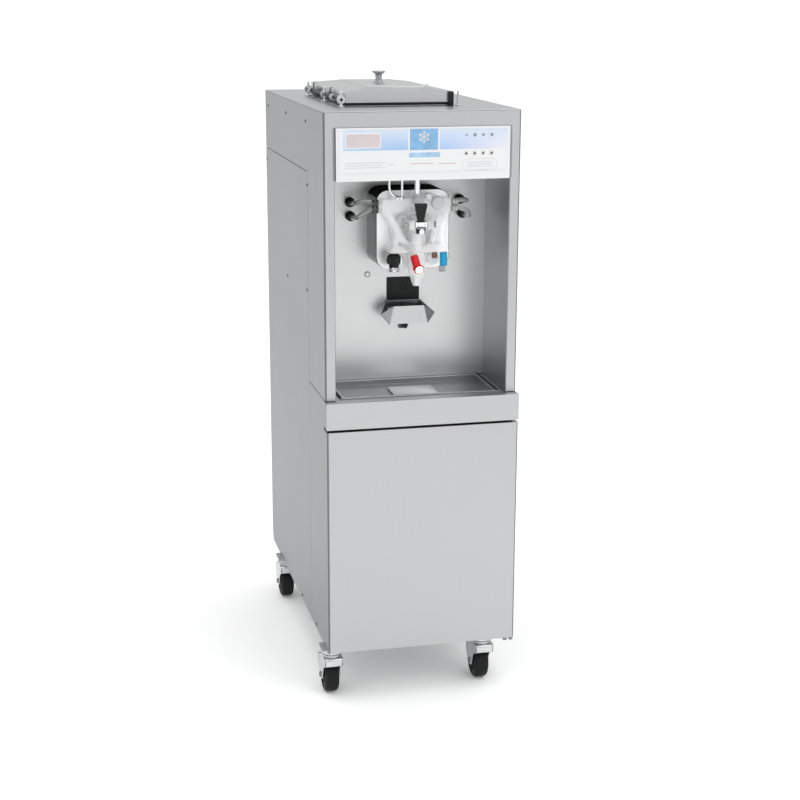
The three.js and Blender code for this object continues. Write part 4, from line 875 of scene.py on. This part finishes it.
# Painted light and shade on the cup rest's one folded sheet: the plate and the strap's top are lighter, the
# leg and the strap's front near-black.
bm = bmesh.new()
block(bm, -11, 11, wall_y, rest_y1, rest_z0, STRAP_FOOT + 6, 0.5)
piece("cup_rest_leg", bm, "near_black_shaded_steel", "cup_rest")
bm = bmesh.new()
for side in (-1, 1):
    end, low_end = (side * STRAP_HALF, wall_y, rest_z1), (side * STRAP_HALF, wall_y, STRAP_FOOT)
    top, bottom, apex = (side * 38, rest_y0, 965), (side * 48, rest_y0, 921), (side * 68, rest_y0 + 11, 945)
    for corners in ((top, bottom, apex), (end, apex, bottom), (end, bottom, low_end)):
        bent_sheet(bm, corners if side < 0 else corners[::-1])
piece("cup_rest_wings", bm, "wing_steel", "cup_rest", "cup_holder", angle=20)
bm = bmesh.new()
bent_sheet(bm, [(-48, rest_y0, 921), (48, rest_y0, 921), (38, rest_y0, 965), (-38, rest_y0, 965)])
piece("cup_rest_plate", bm, "painted_light_rest_steel", "cup_rest")
bm = bmesh.new()
block(bm, -STRAP_HALF, STRAP_HALF, wall_y, rest_y1, STRAP_FOOT, rest_z1, 0.5)
strap = piece("cup_rest_strap", bm, "near_black_shaded_steel", "cup_rest")
# Painted light: the strap's top faces take the lighter steel over its near-black front.
repaint(strap, "painted_light_rest_steel", lambda normal, at: normal.z > 0.5 or at.z > rest_z1 - 0.6)

LOBES, KNOB_R, LOBE_STEPS = 5, 9.5, 60
_, knob_y0, _, _, knob_y1, _ = span("cup_holder_knob")
knob_x, _, knob_z = middle("cup_holder_knob")
star = []
for k in range(LOBE_STEPS):
    angle = tau * k / LOBE_STEPS
    r = KNOB_R * (0.84 + 0.16 * cos(LOBES * angle))
    star.append((knob_x + r * cos(angle), knob_z + r * sin(angle)))
bm = bmesh.new()
prism(bm, star, "y", knob_y0, knob_y0 + 9, 1)
revolve(bm, (knob_x, knob_y0 + 8, knob_z), BACK, drum(5, knob_y1 - knob_y0 - 8), 24, 0.3)
piece("rest_knob", bm, "black_plastic", "cup_rest_knob", "cup_holder_knob")

guide_y = span("cup_guide_plate")[1]
# Painted shade: a black disc inside the guide plate's hole.
turned("shaded_guide_bore", (0, guide_y + 1.2, 1003), BACK, drum(7.2, 1.4), "painted_shade_black", sides=32)
bm = bmesh.new()
for x in (-33, 33):
    for z in (977, 1019):
        screw(bm, (x, guide_y, z), FORWARD, 2.6, 1)
piece("guide_screws", bm, "black_paint")
plug_place = (-90.5, span("bay_liner")[4] - 1.5, 1036)
turned("splash_plug_ring", plug_place, FORWARD, ring(5.6, 7.6, 1.2), "dull_zinc", soft=0.2)
turned("splash_plug", plug_place, FORWARD, stud(5.5, 1.4, 4, 1.9), "liner_steel", soft=0.2)

# ---- hopper, lid and hinge rod


def walls(bm, x0, x1, y0, y1, z0, z1, inset, bevel, thickness=2):
    """Four upright walls round a rectangle; the two at the sides stop inset short of its ends."""
    for near, far in ((y0, y0 + thickness), (y1 - thickness, y1)):
        block(bm, x0, x1, near, far, z0, z1, bevel)
    for near, far in ((x0, x0 + thickness), (x1 - thickness, x1)):
        block(bm, near, far, y0 + inset, y1 - inset, z0, z1, bevel)


_, lid_y0, lid_z0, lid_x1, _, lid_z1 = span("hopper_lid")
deck_top = span("top_deck")[5]
foot_z = deck_top + 0.3
GASKET = 2.2
x0, y0, _, x1, y1, _ = span("hopper_tank")
bm = bmesh.new()
walls(bm, x0 - GASKET, x1 + GASKET, y0 - GASKET, y1 + GASKET, deck_top + 2.5, lid_z0 - 0.2, GASKET, 0.3)
piece("hopper_gasket", bm, "rubber")

_, rod_y0, _, _, rod_y1, _ = span("lid_hinge_rod")
rod_x = middle("lid_hinge_rod")[0]
ROD_Z, ROD_R = 1468, 3.4
turned("hinge_rod", (rod_x, rod_y0 + 2, ROD_Z), BACK, drum(ROD_R, rod_y1 - rod_y0 - 4), "black_paint",
       node="lid_hinge_rod", sides=24)
bm = bmesh.new()
for y in (rod_y0 + 8, -77, rod_y1 - 8):
    revolve(bm, (rod_x, y, foot_z), UP,
            [(0, 0), (9.5, 0), (9.5, 2), (4.4, 3), (3.6, 5), (3.6, 35.5), (2.4, 37), (0, 37)], 32, 0.3)
    revolve(bm, (rod_x, y - 2.2, ROD_Z), BACK, mirrored([(0, 0), (9.6, 0), (10.6, 0.8)], 4.4), 32, 0.2)
piece("hinge_posts", bm, "bright_zinc")
bm = bmesh.new()
block(bm, lid_x1 - 13, lid_x1 - 1, lid_y0 - 10, lid_y0 - 2.5, foot_z, lid_z0 + 25, 1.2)
piece("lid_stop", bm, "black_plastic")
bm = bmesh.new()
for y in (lid_y0 - 8, 27):
    revolve(bm, (lid_x1 + 10, y, foot_z), UP,
            [(0, 0), (7, 0), (7, 1.6), (2.6, 2.4), (2.6, 35), (0, 36)], 24, 0.3)
piece("lid_guides", bm, "bright_zinc")

TOP_PLATE = (-91, 48, -212, 133)
bm = bmesh.new()
block(bm, *TOP_PLATE, lid_z1 - 1, lid_z1 + 0.9, 0.8)
piece("lid_top_plate", bm, "lid_steel", "hopper_lid")
turned("lid_stud", (TOP_PLATE[1] + 4, TOP_PLATE[2] + 12, lid_z1 - 2), UP,
       [(0, 0), (4, 0), (4, 3), (2.4, 4), (2.4, 7), (0, 8)],
       "bright_zinc", "hopper_lid", sides=24)
pull_x, pull_y, _ = middle("lid_knob")
turned("lid_pull", (pull_x, pull_y, span("lid_knob")[2]), UP,
       [(0, 0), (14, 0), (15, 1), (14, 2.4), (9.4, 3.4), (8.6, 6), (8.2, 18), (9.4, 22), (15.5, 26.3),
        (17, 28), (16, 30), (0, 30.6)], "knob_steel", "hopper_lid", "lid_knob", soft=0.5)

# ---- refrigeration, fan and syrup jars

_, _, dome_z, _, _, dome_top = span("compressor")
dome_x, dome_y = middle("compressor")[:2]
bm = bmesh.new()
revolve(bm, (dome_x, dome_y, dome_z), UP,
        [(0, 12), (76, 12), (82, 18), (83, 70), (86, 73), (86, 79), (83, 82), (82, 108), (74, 140), (48, 163),
         (20, 170), (0, 171)], 64, 3)
for side in (-1, 1):
    for y in (dome_y - 58, dome_y + 58):
        for near, far, half, low, high in ((72, 88, 12, 5, 11), (40, 84, 9, 8, 13)):
            x0, x1 = sorted((dome_x + side * near, dome_x + side * far))
            block(bm, x0, x1, y - half, y + half, dome_z + low, dome_z + high, 1)
block(bm, dome_x + 70, dome_x + 94, dome_y - 26, dome_y + 26, dome_z + 60, dome_z + 116, 3)
piece("compressor_dome", bm, "black_paint", node="compressor")

core_x0, core_y0, core_z0, core_x1, core_y1, core_z1 = span("condenser")
PIPE_X = -60
bm = bmesh.new()
sweep(bm, [(dome_x, dome_y, dome_top - 6), (dome_x, dome_y, dome_top + 40),
           (dome_x + 30, dome_y + 40, dome_top + 70), (PIPE_X, core_y0 - 30, core_z1 - 70),
           (PIPE_X, core_y0 + 40, core_z1 + 12), (PIPE_X, core_y1 - 30, core_z1 + 2)], 5)
sweep(bm, [(dome_x - 60, dome_y - 40, dome_top - 60), (dome_x - 66, dome_y - 48, dome_top + 10),
           (dome_x - 60, dome_y - 30, dome_top + 120), (dome_x - 30, dome_y + 20, 700), (PIPE_X, 100, 1000),
           (PIPE_X, 60, 1110)], 6)
for z in range(int(core_z0) + 40, int(core_z1) - 20, 50):
    sweep(bm, [(core_x1 - 3, core_y0 + 40, z), (core_x1 + 11, core_y0 + 44, z + 4),
               (core_x1 + 11, core_y0 + 44, z + 21), (core_x1 - 3, core_y0 + 40, z + 25)], 4.5)
piece("refrigerant_pipes", bm, "copper")
FINS = 44
bm = bmesh.new()
for k in range(FINS):
    x = core_x0 + 8 + k * (core_x1 - core_x0 - 16) / (FINS - 1)
    block(bm, x - 0.5, x + 0.5, core_y1 - 1, core_y1 + 5, core_z0 + 32, core_z1 - 6, 0)
piece("condenser_fin_pack", bm, "fin_metal")

FAN_X, FAN_Z, FAN_R, HUB_R, BLADES, BLADE_SECTIONS = 40, 320, 98, 23, 5, 8
fan_y = middle("condenser_fan")[1]
bm = bmesh.new()
revolve(bm, (FAN_X, span("condenser_fan")[1] + 2, FAN_Z), BACK,
        [(5, 3), (8, 0), (19, 1.5), (HUB_R, 6), (HUB_R, 27), (5, 27), (5, 3)], 40, 1)
for blade in range(BLADES):
    start = tau * blade / BLADES
    rings = []
    for k in range(BLADE_SECTIONS + 1):
        t = k / BLADE_SECTIONS
        r = HUB_R - 2 + (FAN_R - HUB_R + 2) * t
        swept, chord, pitch = 0.25 * t * t, 0.52 + 0.10 * t - 0.18 * t ** 4, 11 - 4 * t
        section = []
        for lift, order in ((0.9, (0, 0.35, 0.7, 1)), (-0.9, (1, 0.7, 0.35, 0))):
            for u in order:
                angle = start + swept + chord * u
                camber = 2.5 * sin(pi * u)
                y = fan_y + pitch * (2 * u - 1) + camber + lift * (0.25 if u in (0, 1) else 1)
                section.append(Vector((FAN_X + r * cos(angle), y, FAN_Z + r * sin(angle))))
        rings.append(section)
    loft(bm, rings)
piece("fan_wheel", bm, "black_plastic", "condenser_fan", "condenser_fan")

rack_x0, rack_y0, rack_z0, rack_x1, rack_y1, rack_top = span("syrup_rack")
JARS, JAR_PITCH, JAR_R, CAP_R, CAP_RIBS, RACK_WALL = 4, 98, 40, 30, 24, 31
jar_y = (rack_y0 + rack_y1) / 2
rack_floor = rack_z0 + 1
bm = bmesh.new()
block(bm, rack_x0, rack_x1, rack_y0, rack_y1, rack_floor, rack_floor + 2, 0.6)
walls(bm, rack_x0, rack_x1, rack_y0, rack_y1, rack_floor, rack_z0 + RACK_WALL, 0, 0.7)
piece("jar_rack", bm, "liner_steel", node="syrup_rack")
jars, caps, lines = bmesh.new(), bmesh.new(), bmesh.new()
jar_foot = rack_floor + 2.4
jar_long = rack_top - 18 - jar_foot
cap_z = jar_foot + jar_long
for k in range(JARS):
    x = (k - (JARS - 1) / 2) * JAR_PITCH
    revolve(jars, (x, jar_y, jar_foot), UP,
            [(0, 1), (30, 0), (JAR_R - 2, 3), (JAR_R, 8), (JAR_R, 40), (JAR_R - 2, 43), (JAR_R - 2, 96),
             (JAR_R, 99), (JAR_R, jar_long - 32), (JAR_R - 6, jar_long - 16), (27, jar_long - 8),
             (26, jar_long), (0, jar_long)], 48, 2)
    revolve(caps, (x, jar_y, cap_z), UP,
            [(0, 0), (CAP_R - 1, 0), (CAP_R, 1), (CAP_R, 14), (27, 17), (8, 17), (0, 17)], 48, 0.6)
    for u, v in circle(CAP_R, CAP_RIBS):
        block(caps, x + u - 0.7, x + u + 0.7, jar_y + v - 0.7, jar_y + v + 0.7, cap_z + 2, cap_z + 13, 0)
    sweep(lines, [(x, jar_y, jar_foot + 20), (x, jar_y, rack_top + 4), (x * 0.94, jar_y + 20, rack_top + 60),
                  (x * 0.8, jar_y + 70, rack_top + 180), (x * 0.7, jar_y + 90, rack_top + 300)], 4.5, 12, 6)
piece("jars", jars, "jar_plastic")
piece("jar_caps", caps, "black_plastic")
piece("jar_lines", lines, "clear_hose")

# ---- casters

SHEET, TRAIL, SPOKES = 3, 26, 6
for place in ("front_left", "front_right", "rear_left", "rear_right"):
    fork, wheel = f"caster_fork_{place}", f"caster_wheel_{place}"
    wheel_x0, _, _, wheel_x1, _, _ = span(wheel)
    x, axle_y, axle_z = middle(wheel)
    wheel_r, wide = axle_z, wheel_x1 - wheel_x0
    outer = wide / 2 + 5
    pin_y, top = axle_y - TRAIL, span(fork)[5]
    crown = top - 14
    back_foot, nose_foot = (pin_y - 32, crown - 21), (axle_y + 36, crown - 42)
    hood = rounded([back_foot, (pin_y - 32, crown), (pin_y + 22, crown), (axle_y + 31, crown - 17),
                    nose_foot], 9, 5)
    legs = rounded([nose_foot, (axle_y + 13, axle_z - 11), (axle_y - 13, axle_z - 11),
                    (pin_y - 4, crown - 34), back_foot], 10, 6)
    bm = bmesh.new()
    for side_x in (x - outer, x + outer - SHEET):
        prism(bm, hood + legs[1:-1], "x", side_x, side_x + SHEET, 0.7)
    lining = []
    for k, p in enumerate(hood):
        shift = SHEET if k < 3 else 0 if k < len(hood) - 9 else -SHEET * 0.7
        lining.append(p + Vector((shift, 0 if k < 2 else -SHEET * 0.9)))
    prism(bm, hood + lining[::-1], "x", x - outer, x + outer, 0.7)
    revolve(bm, (x, pin_y, crown - 0.5), UP,
            [(0, 0), (25, 0), (26, 2), (26, 5), (22, 6), (22, 7.5), (27, 8.5), (27, 12),
             (24, top - crown + 0.4), (0, top - crown + 0.4)], 40, 0.4)
    piece(f"fork_{place}", bm, "bright_zinc", f"fork_{place}", fork)
    turned(f"axle_{place}", (x - outer - 4, axle_y, axle_z), RIGHT,
           mirrored([(0, 0), (5.5, 0), (7.5, 1), (7.5, 4), (5, 4.2)], 2 * outer + 8),
           "dull_zinc", f"fork_{place}", sides=6, soft=0.3)
    turned(f"tyre_{place}", (wheel_x0, axle_y, axle_z), RIGHT,
           mirrored([(31, 1.5), (36, 0), (wheel_r - 3.5, 2), (wheel_r - 0.6, 6), (wheel_r, wide / 2 - 3)],
                    wide), "rubber", f"wheel_{place}", wheel, sides=64, soft=1.2)
    bm = bmesh.new()
    revolve(bm, (wheel_x0, axle_y, axle_z), RIGHT,
            mirrored([(5.6, 0.5), (11, 0.5), (12, 2), (12, 6), (27, 8), (29, 3), (32, 2.5)], wide), 48, 0.6)
    for u, v in circle(1, SPOKES):
        along, across, axle = Vector((u, v)), Vector((u, v)).orthogonal() * 1.6, Vector((axle_y, axle_z))
        a, b = axle + along * 11, axle + along * 30
        prism(bm, [a - across, b - across, b + across, a + across], "x", wheel_x0 + 3, wheel_x1 - 3, 0.5)
    piece(f"hub_{place}", bm, "hub_plastic", f"wheel_{place}")

# ---- the floor, the lights and the camera

FLOOR = 600.0
floor_mesh = bpy.data.meshes.new("floor")
floor_mesh.from_pydata([(-FLOOR, -FLOOR, 0), (FLOOR, -FLOOR, 0), (FLOOR, FLOOR, 0), (-FLOOR, FLOOR, 0)], [],
                       [(0, 1, 2, 3)])
floor = bpy.data.objects.new("floor", floor_mesh)
scene.collection.objects.link(floor)
floor_mesh.materials.append(materials["floor_paint"])

# The sky is brighter overhead than at the horizon, and looks plain white to the camera.
HORIZON, ZENITH = 0.56, 1.45
world = bpy.data.worlds.new("studio")
scene.world = world
world.use_nodes = True
tree = world.node_tree
link = tree.links.new
dome_light = set_inputs(tree.nodes["Background"], Color=WHITE)
place = tree.nodes.new("ShaderNodeTexCoord")
split = tree.nodes.new("ShaderNodeSeparateXYZ")
link(place.outputs["Generated"], split.inputs["Vector"])
link(spread(tree, split.outputs["Z"], To_Min=HORIZON, To_Max=ZENITH), dome_light.inputs["Strength"])
plain_white = set_inputs(tree.nodes.new("ShaderNodeBackground"), Color=WHITE)
seen = tree.nodes.new("ShaderNodeLightPath")
choose = tree.nodes.new("ShaderNodeMixShader")
link(seen.outputs["Is Camera Ray"], choose.inputs["Fac"])
link(dome_light.outputs["Background"], choose.inputs[1])
link(plain_white.outputs["Background"], choose.inputs[2])
link(choose.outputs["Shader"], tree.nodes["World Output"].inputs["Surface"])


def soft_light(name, place, aim, size, power):
    """A square area light at a place, turned to face aim."""
    data = bpy.data.lights.new(name, "AREA")
    data.shape = "RECTANGLE"
    data.size = data.size_y = size
    data.energy = power
    light = bpy.data.objects.new(name, data)
    light.location = place
    light.rotation_mode = "QUATERNION"
    light.rotation_quaternion = (Vector(aim) - Vector(place)).to_track_quat("-Z", "Y")
    scene.collection.objects.link(light)
    light.visible_camera = False


soft_light("key", (1.8, -3.6, 3.4), (0, 0, 0.9), 2.6, 35)
soft_light("top", (0.0, 0.2, 4.2), (0, 0, 0.5), 3.5, 20)

YAW, PITCH, ROLL = (radians(a) for a in (13.536, 14.492, 0.205))
camera_data = bpy.data.cameras.new("camera")
camera_data.sensor_width = 36.0
camera_data.lens = 71.26
camera = bpy.data.objects.new("camera", camera_data)
camera.location = (-0.9196, -4.0104, 1.7179)
camera.rotation_mode = "QUATERNION"
heading = Vector((sin(YAW) * cos(PITCH), cos(YAW) * cos(PITCH), -sin(PITCH)))
camera.rotation_quaternion = heading.to_track_quat("-Z", "Y") @ Quaternion((0, 0, 1), ROLL)
scene.collection.objects.link(camera)
scene.camera = camera
scene.view_settings.view_transform = "Standard"
